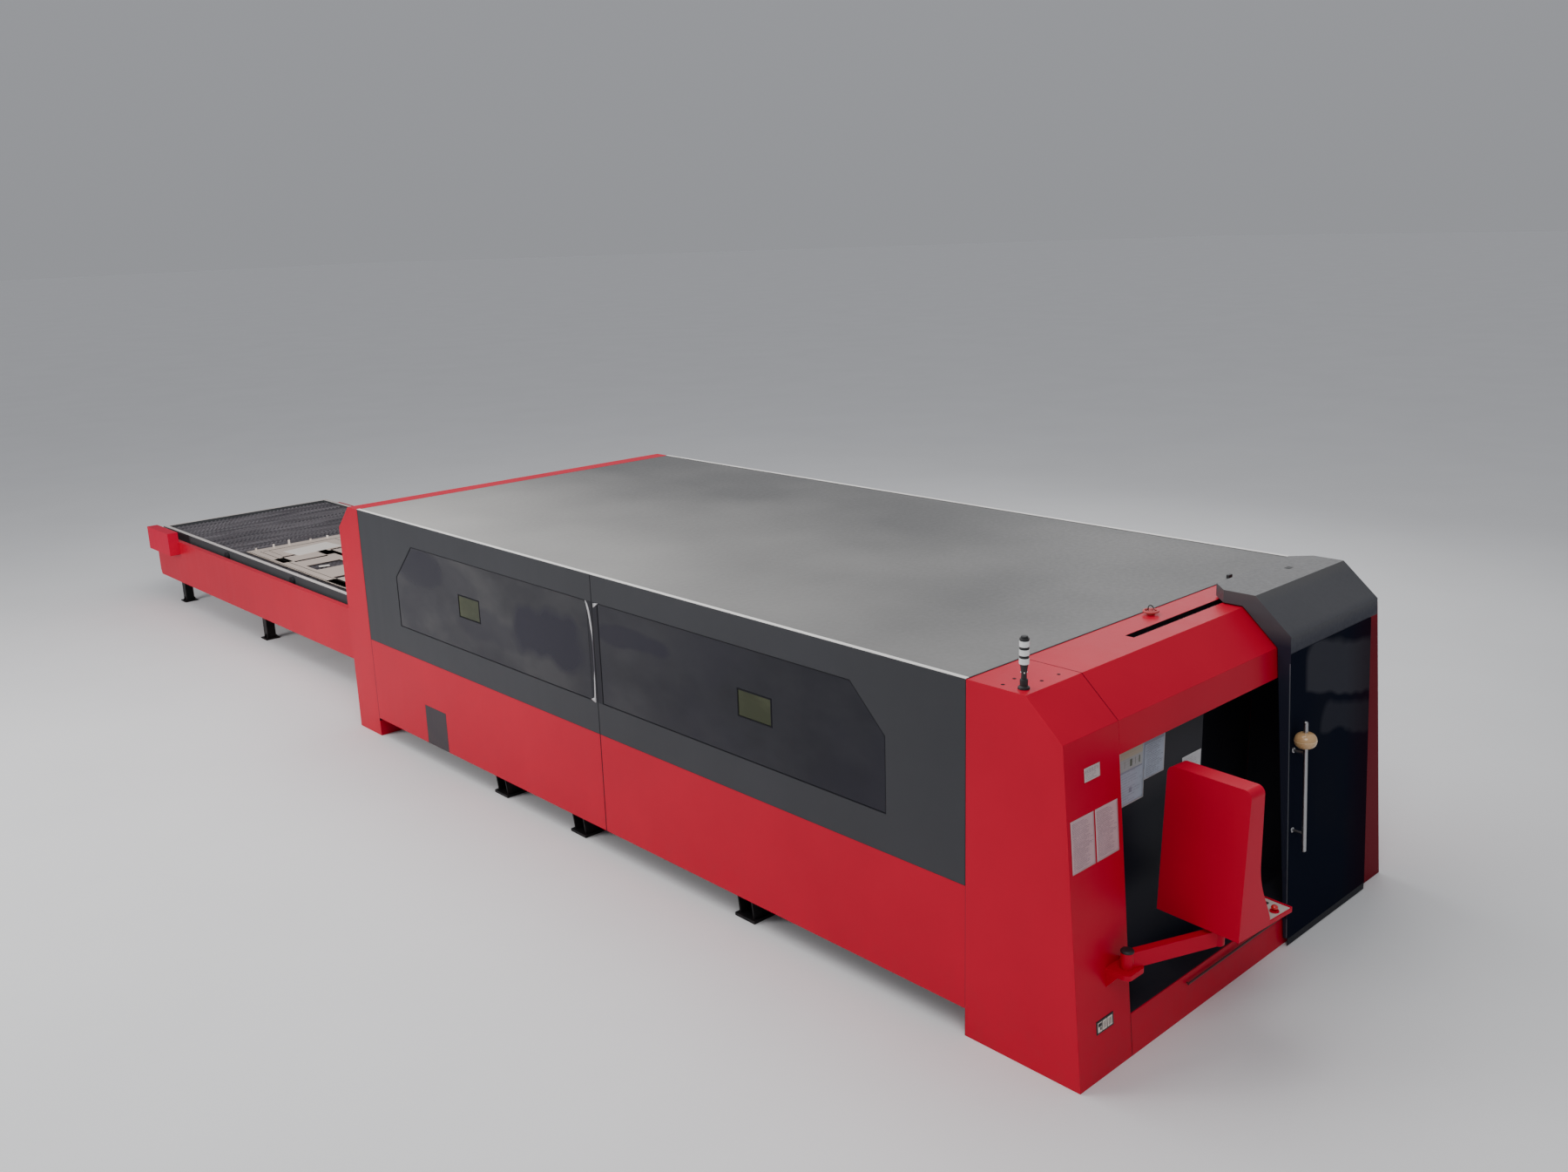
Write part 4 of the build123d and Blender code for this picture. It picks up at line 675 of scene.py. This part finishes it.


# Side panels: gaskets round the windows, frames of the sight glasses, seam strips with a painted highlight
# and the hatch's screws
def side_details():
    def inset_place(side):
        return lambda y, z, d: (side * (HALF - 0.003 + d), y, z)

    for side in (-1, 1):
        for window in WINDOWS:
            add_frame(window_corners(*window), window_corners(*window, 0.007), inset_place(side), 0.0022)
    finish_mesh("window_gaskets", "seal_black")
    for side in (-1, 1):
        for start in (1.6, 5.137):
            glass = (JUNCTION + start, JUNCTION + start + 0.325, 1.5085, 1.6985)
            add_frame(rectangle(*glass, 0.004), rectangle(*glass, -0.006), inset_place(side), 0.0018)
    finish_mesh("sight_glass_frames", "seal_black")
    for side in (-1, 1):
        add_box(on_side(side, HALF - 0.006, HALF - 0.0004), about(SEAM_Y, 0.0016), (0.18, 2.198))
    finish_mesh("panel_seam_fillers", "seal_black")
    # The painted highlight along the edge between the windows: distance behind the junction, height, width
    edge = (
        (3.6, 1.99, 0.006), (3.584, 1.964, 0.022), (3.57, 1.925, 0.026), (3.558, 1.871, 0.022),
        (3.548, 1.807, 0.022), (3.541, 1.737, 0.014), (3.537, 1.616, 0.01), (3.54, 1.472, 0.009),
        (3.545, 1.4, 0.012), (3.55, 1.3, 0.014), (3.556, 1.208, 0.022),
    )
    section = ((-1, -0.002), (-1, 0.0001), (0, 0.0002), (1, 0.0001), (1, -0.002))
    # Small triangles of painted highlight at the windows' corners beside the seam
    corners = (
        ((3.504, 1.95), (3.504, 1.984), (3.44, 1.994)),
        ((3.606, 1.221), (3.552, 1.204), (3.552, 1.248)),
    )
    for side in (-1, 1):
        add_skin([
            add_loop([(side * (HALF + d), JUNCTION + y + a * width / 2, z) for a, d in section])
            for y, z, width in edge
        ])
        for corner in corners:
            add_skin([
                add_loop([(side * (HALF + d), JUNCTION + y, z) for y, z in corner]) for d in (-0.002, 0.0002)
            ])
    finish_mesh("seam_highlight_strips", "seam_glint", smooth=True)
    hatch_low, hatch_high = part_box("hatch_plate")
    for y in (hatch_low.y + 0.025, hatch_high.y - 0.025):
        for z in (hatch_low.z + 0.025, hatch_high.z - 0.025):
            add_screw((-HALF + 0.0002, y, z), (-1, 0, 0), 0.006, 0.0)
    finish_mesh("hatch_screws", "black_paint", smooth=True)


# Front cabinet: seams between its columns and header, plugs, roof grommet and seal
def cabinet_details():
    proud, wide = 0.0007, 0.0032
    chamfer = Vector((0, -(ROOF - BROW_HEIGHT), BROW_DEPTH - TOP_DEPTH)).normalized() * proud
    face = Vector((0, -1, FACE_SLOPE)).normalized() * proud
    lift = [(0, 0, proud), Vector((0, 0, proud)) + chamfer / 2, (chamfer + face) / 2]
    ridge = ((0.001, ROOF), (TOP_DEPTH, ROOF), (BROW_DEPTH, BROW_HEIGHT))
    for x in (-COLUMN_INNER, COLUMN_INNER):
        add_strip([(x, JUNCTION - depth, z) for depth, z in ridge], (1, 0, 0), wide, lift)
        add_strip([(x, face_y(z), z) for z in (SILL_TOP, 0.002)], (1, 0, 0), wide, [face, face])
    finish_mesh("cabinet_seams", "seam_shadow")
    plug = [(0.0, 0.0012), (0.01, 0.0012), (0.012, 0.0)]
    for x, depth in ((-1.753, 0.205), (-1.634, 0.19), (-1.565, 0.321), (-1.417, 0.325)):
        add_turned(plug, (x, JUNCTION - depth, ROOF - 0.0002), steps=20)
    finish_mesh("cabinet_top_plugs", "seal_black")
    add_box((0.984, 1.028), (JUNCTION + 0.016, JUNCTION + 0.04), (ROOF - 0.002, ROOF + 0.024))
    finish_mesh("roof_grommet", "black_plastic", bevel=0.004)
    add_box(about(0, HALF - 0.002), about(JUNCTION, 0.004), (ROOF - 0.004, ROOF + 0.0035))
    finish_mesh("roof_front_seal", "black_plastic")


# Pallets: dense toothed slats, end clips and rim tops with a painted highlight
def slat_profile(half, height, teeth, phase):
    """(x, z) corners of a slat with shallow asymmetric teeth, its top at z = 0."""
    root = -0.012
    points = [(-half, -height), (-half, root)]
    pitch = 2 * half / teeth
    for k in range(teeth):
        left = -half + k * pitch
        worn = root - 0.001 * sin(k * 1.7 + phase)
        points += [(left + pitch * 0.16, worn), (left + pitch * 0.5, 0.0)]
        points += [(left + pitch * 0.6, 0.0), (left + pitch * 0.94, root)]
    return points + [(half, root), (half, -height)]


def fill_profile(row):
    """Fills a toothed outline with a strip of quads from its lower edge up to each tooth."""
    left, right = row[0].co, row[-1].co
    inner = row[1:-1]
    shares = [(v.co.x - left.x) / (right.x - left.x) for v in inner]
    base = add_loop([left.lerp(right, min(max(t, 0.0), 1.0)) for t in shares])
    for n in range(len(inner) - 1):
        bm.faces.new((base[n], base[n + 1], inner[n + 1], inner[n]))


def pallet_details():
    slat_pitch, tooth = 0.0475, 0.0545
    for level, body in (("upper", "upper_pallet"), ("lower", "lower_pallet")):
        frame_low, frame_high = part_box(level + "_pallet_frame")
        slat_low, slat_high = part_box(level + "_pallet_slats")
        half = slat_high.x - 0.0005
        count = round((slat_high.y - slat_low.y) / slat_pitch)
        pitch = (slat_high.y - slat_low.y - 0.003) / count
        for k in range(count + 1):
            within = 0 < k < count
            y = slat_low.y + 0.0015 + k * pitch + random.uniform(-0.0008, 0.0008) * within
            top = slat_high.z - 0.0002 - random.uniform(0, 0.0012)
            lean = random.uniform(-0.001, 0.001) * within
            outline = slat_profile(half, top - slat_low.z, round(2 * half / tooth), k * 0.9)
            rows = [
                add_loop([(x, y + offset + lean * (1 + z / 0.07), top + z) for x, z in outline])
                for offset in (-0.0012, 0.0012)
            ]
            add_skin(rows, caps=False)
            for row in rows:
                fill_profile(row)
        slats = finish_mesh(level + "_toothed_slats", "slat_steel", body=body)
        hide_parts(level + "_pallet_slats")
        # Pale strips on the rims' tops: a painted highlight
        heights = (frame_high.z - 0.0005, frame_high.z + 0.0015)
        for side in (-1, 1):
            x = on_side(side, frame_high.x - 0.006, frame_high.x - 0.056)
            add_box(x, (frame_low.y + 0.004, frame_high.y - 0.004), heights)
        for y in ((frame_low.y + 0.006, frame_low.y + 0.052), (frame_high.y - 0.052, frame_high.y - 0.006)):
            add_box((frame_low.x + 0.058, frame_high.x - 0.058), y, heights)
        finish_mesh(level + "_rim_tops", "rim_top", body=body, bevel=0.0006)
        for side in (-1, 1):
            x = on_side(side, half - 0.03, half + 0.0002)
            for k in range(count + 1):
                y = slat_low.y + 0.0015 + k * pitch
                add_box(x, (y + 0.0045, y + 0.0115), (slat_low.z + 0.004, slat_high.z - 0.004))
        finish_mesh(level + "_slat_clips", "frame_paint", body=body)


# Cut sheet: loose parts and plates, tipped pieces along its far edge, kerfs and burns
def sheet_details():
    low_corner, high_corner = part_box("cut_blank")
    top = high_corner.z
    width, length = high_corner.x - low_corner.x, high_corner.y - low_corner.y

    def spot(u, v):
        return low_corner.x + u * width, low_corner.y + v * length

    def turned(u, v, lift, turn, tilt=0.0):
        """A frame at a share of the sheet's width and length."""
        place = Matrix.Translation((*spot(u, v), top + lift)) @ Matrix.Rotation(turn, 4, "Z")
        return place @ Matrix.Rotation(tilt, 4, "X")

    # Each part: place, width and length as shares of the sheet's, turn
    for u, v, across, along, turn in (
        (0.185, 0.78, 0.36, 0.085, 0.0), (0.44, 0.735, 0.23, 0.14, 0.0), (0.2, 0.36, 0.43, 0.14, 0.02),
        (0.6, 0.355, 0.37, 0.16, -0.01), (0.78, 0.7, 0.3, 0.11, 0.015), (0.26, 0.145, 0.5, 0.075, 0.0),
        (0.68, 0.12, 0.42, 0.085, 0.01),
    ):
        half_x, half_y = across * width / 2 * 0.9, along * length / 2 * 0.88
        add_box(about(0, half_x), about(0, half_y), (0, 0.004), turned(u, v, -0.004, turn))
    finish_mesh("loose_cut_parts", "sheet_steel", body="upper_pallet", bevel=0.0006)
    place = turned(0.3, 0.86, 0.0012, radians(9), 0.012)
    add_box((-0.3, 0.3), (-0.17, 0.17), (0, 0.005), place)
    for u, v, size, turn in (
        (0.8, 0.9, 0.2, 0.5), (0.62, 0.6, 0.16, 0.2), (0.15, 0.6, 0.12, -0.3), (0.9, 0.52, 0.14, 0.8),
    ):
        add_box(about(0, size / 2), about(0, size * 0.3), (0, 0.004), turned(u, v, 0.001, turn))
    finish_mesh("bright_loose_plates", "bright_plate", body="upper_pallet", bevel=0.0006)
    for k in range(9):
        u = 0.03 + k * 0.115 + random.uniform(-0.02, 0.02)
        tall = random.uniform(0.03, 0.065)
        turn = random.uniform(-0.5, 0.5)
        place = turned(u, 0.985, -0.001, turn, random.uniform(-0.25, 0.25))
        add_box((-0.012, 0.012), (-0.0015, 0.0015), (0, tall), place)
    finish_mesh("upright_offcuts", "bright_plate", body="upper_pallet")
    for k in range(64):
        for u in (0.006, 0.994):
            x, y = spot(u, 0.012 + k * 0.0153)
            add_box(about(x, 0.01), about(y, 0.014), (top - 0.0002, top + 0.0007))
    for u, v, across, along in (
        (0.055, 0.5, 0.004, 0.92), (0.5, 0.955, 0.86, 0.003), (0.42, 0.55, 0.003, 0.3),
        (0.3, 0.955, 0.4, 0.004), (0.8, 0.3, 0.3, 0.003), (0.1, 0.9, 0.003, 0.1),
        (0.52, 0.9, 0.003, 0.1), (0.945, 0.5, 0.004, 0.92), (0.5, 0.035, 0.88, 0.003),
    ):
        x, y = spot(u, v)
        size = about(x, across * width / 2), about(y, along * length / 2)
        add_box(*size, (top - 0.0002, top + 0.0006))
    finish_mesh("kerfs_and_burns", "burn", body="upper_pallet")


# Dark joints: cabinet to cabin, cabin to portal, skirt to panel, and the seals along the roof's edges
def joint_lines():
    for side in (-1, 1):
        x = on_side(side, HALF - 0.004, HALF - 0.0001)
        for y, low in ((JUNCTION, 0.002), (CABIN_END, 0.18)):
            add_box(x, about(y, 0.0016), (low, 2.199))
        x = on_side(side, HALF - 0.0062, HALF - 0.0012)
        add_box(x, (JUNCTION + 0.001, CABIN_END - 0.001), (0.9601, 0.9639))
    add_box(about(0, HALF - 0.002), about(CABIN_END, 0.0016), (2.196, 2.2005))
    finish_mesh("joint_lines", "dark_joint_and_shade")
    for side in (-1, 1):
        x = on_side(side, HALF - 0.0345, HALF - 0.0284)
        add_box(x, (JUNCTION + 0.012, CABIN_END - 0.002), (ROOF - 0.001, ROOF + 0.0012))
    finish_mesh("roof_edge_seals", "seal_black")


# Softly rolled edges on the painted and machined solids
def roll_edges():
    widths = {
        0.003: "front_left_column front_right_column front_header front_sill rear_portal table_side_beams",
        0.002: "front_skirts rear_skirts corner_guard door_frame gantry_beam gantry_trucks",
        0.006: "console_housing console_arm",
        0.0025: "keyboard_tray console_bracket head_carriage z_slide table_legs upper_pallet_frame",
        0.0015: "door_panel machine_bed machine_feet lower_pallet_frame pallet_drive",
    }
    for width, names in widths.items():
        for node in names.split():
            modify(nodes[node], "WELD", merge_threshold=0.00001)
            modify(
                nodes[node], "BEVEL", width=width, segments=2, limit_method="ANGLE",
                angle_limit=radians(28), use_clamp_overlap=True,
            )
            modify(nodes[node], "WEIGHTED_NORMAL", weight=100, keep_sharp=False)


# Dark sheets of painted shade inside the cabinet, behind the skirts and in the slot of the door's guide rail
def linings():
    low, ceiling, wall = 0.022, 1.786, JUNCTION - 0.022
    foot, across = -0.08, about(0, COLUMN_INNER - 0.002)
    add_box(across, (NICHE_Y + 0.002, face_y(SILL_TOP) + 0.006), (SILL_TOP + 0.0002, SILL_TOP + 0.0018))
    for side, back in ((1, wall), (-1, NICHE_Y - 0.002)):
        outline = [(back, low), (back, ceiling), (face_y(ceiling, -0.012), ceiling)]
        outline += [(face_y(z, foot), z) for z in (0.262, low)]
        add_skin([
            add_loop([(side * (COLUMN_INNER - d), y, z) for y, z in outline]) for d in (0.0005, 0.002)
        ])
    add_box(across, (face_y(low, foot), wall), (0.02, 0.0215))
    add_box(across, (face_y(1.789) + 0.02, NICHE_Y - 0.001), (1.7875, 1.7888))
    skirt = HALF - 0.0254
    for side in (-1, 1):
        add_box(on_side(side, skirt, skirt - 0.0012), (JUNCTION + 0.03, JUNCTION + 7.135), (0.195, 0.955))
    finish_mesh("cabinet_shade_linings", "dark_joint_and_shade")
    # Black sheets in the door's guide slot: painted shade
    middle, left, right, floor = JUNCTION - 0.222, -0.5729, 1.619, ROOF - 0.045
    depth = (floor + 0.001, ROOF - 0.0004)
    for side in (-1, 1):
        add_box((left, right), sorted((middle + side * 0.0292, middle + side * 0.0299)), depth)
        ledge = sorted((middle + side * 0.017, middle + side * 0.0292))
        add_box((left, right), ledge, (floor + 0.0001, floor + 0.0008))
    add_box((left, left + 0.0007), about(middle, 0.029), depth)
    finish_mesh("slot_shade_lining", "seal_black")


# Door: turned grip, domed handle ends, feet, rubber edges and the hole in the hood
def door_details():
    bar_x, bar_proud, grip_z = 0.447, 0.078, 1.415
    centre = Vector((bar_x, leaf_y(grip_z, bar_proud), grip_z))
    axis = Vector((0, LEAF_SLOPE, 1)).normalized()
    angles = [pi * k / 32 - pi / 2 for k in range(1, 32)]
    profile = [(max(0.0142, 0.069 * abs(cos(t)) ** 0.62), 0.0515 * sin(t)) for t in angles]
    add_turned([(0.0142, -0.051)] + profile + [(0.0142, 0.051)], centre, axis, 64)
    grip = finish_mesh("turned_grip", "grip", body="door", smooth=True)
    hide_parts("handle_grip")
    angles = [pi * k / 8 - pi / 2 for k in range(9)]
    ring = [(0.0688 + 0.0012 * cos(a), 0.0012 * sin(a)) for a in angles]
    add_turned(ring, centre, axis, 64)
    finish_mesh("grip_seam_ring", "grip_rim", body="door", smooth=True)
    dome = [(0.0138 * cos(pi * k / 16), 0.01 * sin(pi * k / 16)) for k in range(9)]
    for height, way in ((1.53, 1), (0.68, -1)):
        add_turned(dome, (bar_x, leaf_y(height, bar_proud), height), axis * way, 32)
    foot = [(0.0, 0.004), (0.014, 0.004), (0.0165, 0.0025), (0.0175, 0.0)]
    for height in (0.795, 1.33):
        add_turned(foot, (bar_x, leaf_y(height), height), (0, -1, LEAF_SLOPE), 28)
    finish_mesh("handle_ends_and_feet", "steel", body="door", smooth=True)
    for ends in ((0.3, 1.9), (0.062, 0.19)):
        path = [(0.4048, leaf_y(z, -0.0045) + 0.004, z) for z in ends]
        add_strip(path, (0, 1, 0), 0.006, [(-0.001, 0, 0)] * 2)
    finish_mesh("leaf_edge_seals", "edge_line", body="door")
    leaf_low, leaf_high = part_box("door_panel")
    seal_y = leaf_y(0.06, -0.001), leaf_y(0.06, -0.0045)
    add_box((leaf_low.x + 0.002, leaf_high.x - 0.002), seal_y, (0.006, 0.0548))
    finish_mesh("leaf_bottom_seal", "door_rubber", body="door")
    add_box((1.148, 1.206), (JUNCTION - 0.324, JUNCTION - 0.288), (2.2905, 2.2934))
    finish_mesh("hood_hole", "black_paint", body="door")


# Signal tower turned in detail, in place of its plain stages
def tower_details():
    x, y = -1.73, JUNCTION - 0.327
    first, stage, lens = ROOF + 0.139, 0.048, 0.032
    stem = [
        (0.0, 0.0), (0.033, 0.0), (0.033, 0.004), (0.0315, 0.0115), (0.024, 0.015), (0.022, 0.017),
        (0.022, 0.05), (0.0205, 0.054), (0.0155, 0.055), (0.0148, 0.09), (0.0165, 0.096),
        (0.0175, 0.1), (0.0195, 0.118), (0.0225, 0.133), (0.0248, 0.138), (0.0248, 0.1388), (0.0, 0.1388),
    ]
    add_turned(stem, (x, y, ROOF + 0.0002))
    ring = [(0.0, 0.0004), (0.025, 0.0004), (0.0262, 0.0018)]
    ring += [(radius, 0.016 - height) for radius, height in reversed(ring)]
    for k in range(3):
        add_turned(ring, (x, y, first + stage * k + lens))
    cap = [(0.0, 0.0), (0.0198, 0.0), (0.0198, 0.007), (0.0175, 0.0105), (0.011, 0.012), (0.0, 0.012)]
    add_turned(cap, (x, y, first + stage * 3))
    body = finish_mesh("tower_turned_body", "black_plastic")
    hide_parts("tower_body")
    module = [(0.0, 0.0), (0.0262, 0.0)]
    for n in range(7):
        rib = 0.0016 + n * 0.004
        module += [(0.0278, rib), (0.0278, rib + 0.003), (0.0274, rib + 0.0036)]
    module += [(0.0278, 0.0304), (0.0262, lens), (0.0, lens)]
    for k in range(3):
        add_turned(module, (x, y, first + stage * k))
    lenses = finish_mesh("tower_ribbed_lenses", "lens")
    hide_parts("tower_lenses")
    # The neck screws take the pale paint of a painted highlight
    screw = [(0.0, -0.003), (0.0036, -0.003), (0.0036, 0.003), (0.0, 0.003)]
    for k in range(4):
        a = pi / 4 + k * pi / 2
        out = Vector((cos(a), sin(a), 0))
        add_turned(screw, Vector((x, y, ROOF + 0.0925)) + out * 0.016, out, 12)
    finish_mesh("tower_neck_screws", "bright_edge", smooth=True)


# Lifting eye: shouldered boss, forged ring lying round it and a thin wire bail
def eye_details():
    x, y = centre_of("lifting_eye")
    boss = [
        (0.0, 0.0), (0.026, 0.0), (0.026, 0.018), (0.0235, 0.0245), (0.018, 0.026), (0.0125, 0.0265),
        (0.0122, 0.036), (0.0105, 0.0378), (0.0, 0.0378),
    ]
    add_turned(boss, (x, y, ROOF + 0.0002), steps=40)
    add_torus((x, y, ROOF + 0.022), 0.044, 0.0078, 56, 14)
    bar = [(0.0, -0.044), (0.0058, -0.044), (0.0058, 0.044), (0.0, 0.044)]
    add_turned(bar, (x, y, ROOF + 0.022), (1, 0, 0), 16)
    eye = finish_mesh("forged_eye", "eye", smooth=True)
    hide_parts("lifting_eye")
    angles = [pi * k / 24 for k in range(25)]
    start = Vector((x, y, ROOF + 0.03))
    path = [start + Vector((0.03 * cos(a), 0.01 * sin(a), 0.026 * sin(a))) for a in angles]
    add_tube(path, 0.003, 10)
    finish_mesh("eye_wire_bail", "seal_black", smooth=True)


# Posted papers: thin, slightly lifted sheets with generic rows of print
def papers():
    violet, blue, grey, pale = (0.52, 0.34, 0.36), (0.38, 0.42, 0.5), (0.1, 0.09, 0.12), (0.62, 0.58, 0.58)
    cream, dark = (0.5, 0.42, 0.26), (0.05, 0.07, 0.03)
    # Fields of tone: left, right, top and bottom on the sheet, colour, strength
    bars = ((0.182, 0.006, 0.5), (0.238, 0.022, 0.85), (0.29, 0.005, 0.6), (0.326, 0.012, 0.85))
    chart = [(0.0, 0.362, 0.0, 0.1, cream, 0.75), (0.0, 0.362, 0.1, 0.172, (0.4, 0.4, 0.35), 0.6)]
    chart += [(u, u + wide, 0.113, 0.156, dark, amount) for u, wide, amount in bars]
    chart += [
        (0.0, 0.362, 0.172, 0.181, (0.2, 0.21, 0.27), 0.8),
        (0.235, 0.262, 0.285, 0.315, (0.18, 0.18, 0.24), 0.8),
        (0.122, 0.137, 0.0, 0.385, pale, 0.9), (0.377, 0.383, 0.215, 0.385, pale, 0.9),
        (0.0, 0.383, 0.378, 0.385, pale, 0.9),
    ]
    table = [
        (0.0, 0.207, 0.052, 0.072, (0.22, 0.22, 0.27), 0.7), (0.2, 0.207, 0.0, 0.283, pale, 0.8),
        (0.0, 0.207, 0.277, 0.283, pale, 0.8),
    ]
    card = [(0.006 + k * 0.022, 0.02 + k * 0.022, 0.012, 0.03, (0.3, 0.24, 0.25), 0.6) for k in range(6)]
    # Left edge, lower edge, width, height, whether it is on the slanted face, paper, pitch of the rows,
    # fields of tone, strength of the print
    sheets = {
        "notice_left": (-1.787, 1.258, 0.21, 0.297, True, violet, 0.0085, (), 0.55),
        "notice_right": (-1.565, 1.258, 0.21, 0.297, True, violet, 0.0085, (), 0.55),
        "small_card": (-1.646, 1.73, 0.143, 0.077, True, (0.52, 0.45, 0.44), 0.009, card, 0.5),
        "niche_chart": (-1.29, 1.385, 0.383, 0.385, False, blue, 0.016, chart, 0.3),
        "niche_table": (-0.907, 1.487, 0.207, 0.283, False, blue, 0.011, table, 0.5),
        "niche_notice": (-0.5, 1.204, 0.21, 0.297, False, (0.56, 0.55, 0.56), 0.01, (), 0.4),
    }
    columns, rows = range(15), range(19)
    made = []
    for name, (left, bottom, width, height, slanted, paper, pitch, blocks, fill) in sheets.items():
        curl = random.uniform(0.001, 0.0022)

        def point(u, v):
            """A point of the sheet, whose edges and corners stand off a little."""
            edge = max(abs(u - 0.5), abs(v - 0.5)) * 2
            lift = 0.0007 + curl * edge ** 6 + 0.0004 * sin(5 * u + 3 * v)
            x, z = left + u * width, bottom + v * height
            return x, face_y(z, lift) if slanted else NICHE_Y - lift, z

        grid = [add_loop([point(c / columns[-1], r / rows[-1]) for c in columns]) for r in rows]
        for low, high in zip(grid, grid[1:]):
            for c in columns[1:]:
                bm.faces.new((low[c - 1], low[c], high[c], high[c - 1]))
        print_name = "print_" + name
        mats[print_name] = printed(print_name, left, bottom, width, height, paper, grey, pitch, blocks, fill)
        piece = finish_mesh(name, print_name, smooth=True)
        modify(piece, "SOLIDIFY", thickness=0.0003)
        made.append(piece)
    for piece in made:
        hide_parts("posted_sheets")


# Outlet plate: rounded dark frame with cream modules
def outlet():
    x, z = -1.559, 0.311
    inward = Vector((0, 1, -FACE_SLOPE)).normalized()
    up = Vector((0, FACE_SLOPE, 1)).normalized()
    turn = Matrix((Vector((1, 0, 0)), inward, up)).transposed().to_4x4()
    place = Matrix.Translation((x, face_y(z, 0.001), z)) @ turn
    add_box((-0.0815, 0.0815), (-0.001, 0.006), (-0.0395, 0.0395), place)
    frame_piece = finish_mesh("outlet_frame", "black_plastic", bevel=0.003, segments=3)
    for limits in ((-0.07, -0.03), (-0.024, 0.016), (0.022, 0.068)):
        add_box(limits, (-0.0022, 0.002), (-0.029, 0.029), place)
    finish_mesh("outlet_modules", "cream", bevel=0.002, segments=3)
    for x0, x1, z0, z1 in (
        (-0.066, -0.034, 0.004, 0.024), (-0.05, -0.038, -0.018, 0.0), (-0.014, -0.01, -0.02, 0.02),
        (0.000, 0.004, -0.02, 0.02), (0.032, 0.036, -0.02, 0.02), (0.044, 0.048, -0.02, 0.02),
        (0.056, 0.06, -0.02, 0.02),
    ):
        add_box((x0, x1), (-0.0027, -0.0015), (z0, z1), place)
    finish_mesh("outlet_slots", "black_plastic")
    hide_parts("socket_plate")


# Console: tray laminate, keys, screen bezel, buttons, stop button, bolts and pivot cap
def console_details():
    place = Matrix.Translation((-0.88, JUNCTION - 1.06, 0)) @ Matrix.Rotation(radians(-4), 4, "Z")
    add_box((0.196, 0.4035), (-0.192, 0.332), (0.7819, 0.784), place)
    finish_mesh("tray_laminate", "laminate", body="console", bevel=0.0008)
    add_box((0.2425, 0.3625), (-0.083, 0.277), (0.7838, 0.79), place)
    for row in range(5):
        for column in range(15):
            x, y = 0.248 + row * 0.0222, -0.0775 + column * 0.0233
            add_key(x, y, 0.7895, 0.0185, 0.02, 0.0062, place)
    keys = finish_mesh("keyboard_keys", "black_plastic", body="console")
    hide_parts("keyboard")
    lean, display = -0.001 / 0.45, (-0.145, 0.285, 1.265, 1.535)
    add_frame(
        rectangle(*display, 0.018), rectangle(*display),
        lambda y, z, d: place @ Vector((0.0645 + d + lean * (z - 1.18), y, z)), 0.01,
    )
    finish_mesh("screen_bezel", "black_plastic", body="console", bevel=0.002)
    outward = (place.to_3x3() @ Vector((1, 0, 0))).normalized()
    knob = [(0.0, 0.008), (0.01, 0.008), (0.0115, 0.006), (0.0115, 0.0), (0.015, 0.0), (0.015, -0.004)]
    for k in range(6):
        add_turned(knob, place @ Vector((0.066, -0.08 + k * 0.06, 1.205)), outward, 28)
    finish_mesh("console_buttons", "steel", body="console", smooth=True)
    low_corner, high_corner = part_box("emergency_stop")
    foot = low_corner.z - high_corner.z
    profile = [
        (0.0, 0.0), (0.006, -0.0004), (0.013, -0.0025), (0.0178, -0.006), (0.0199, -0.011), (0.0199, -0.017),
        (0.018, -0.0215), (0.0125, -0.0255), (0.0088, -0.026), (0.0088, foot), (0.0, foot),
    ]
    add_turned(profile, (*centre_of("emergency_stop"), high_corner.z))
    button = finish_mesh("mushroom_button", "stop_red", body="stop_button", smooth=True)
    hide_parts("emergency_stop")
    x, y = centre_of("pivot_cap")
    profile = [(0.0, 0.0), (0.0379, 0.0), (0.0379, 0.008), (0.034, 0.0135), (0.024, 0.0158), (0.0, 0.0158)]
    add_turned(profile, (x, y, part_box("pivot_cap")[0].z))
    cap = finish_mesh("domed_pivot_cap", "black_plastic", smooth=True)
    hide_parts("pivot_cap")
    bracket_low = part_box("console_bracket")[0].z
    for dx in (-0.058, 0.058):
        for z in (bracket_low + 0.045, bracket_low + 0.075):
            add_screw((x + dx, face_y(z, 0.003), z), (0, -1, FACE_SLOPE), 0.008, 0.003)
    finish_mesh("bracket_bolts", "steel", smooth=True)


studio()
side_details()
cabinet_details()
linings()
door_details()
tower_details()
eye_details()
papers()
outlet()
console_details()
pallet_details()
sheet_details()
joint_lines()
roll_edges()
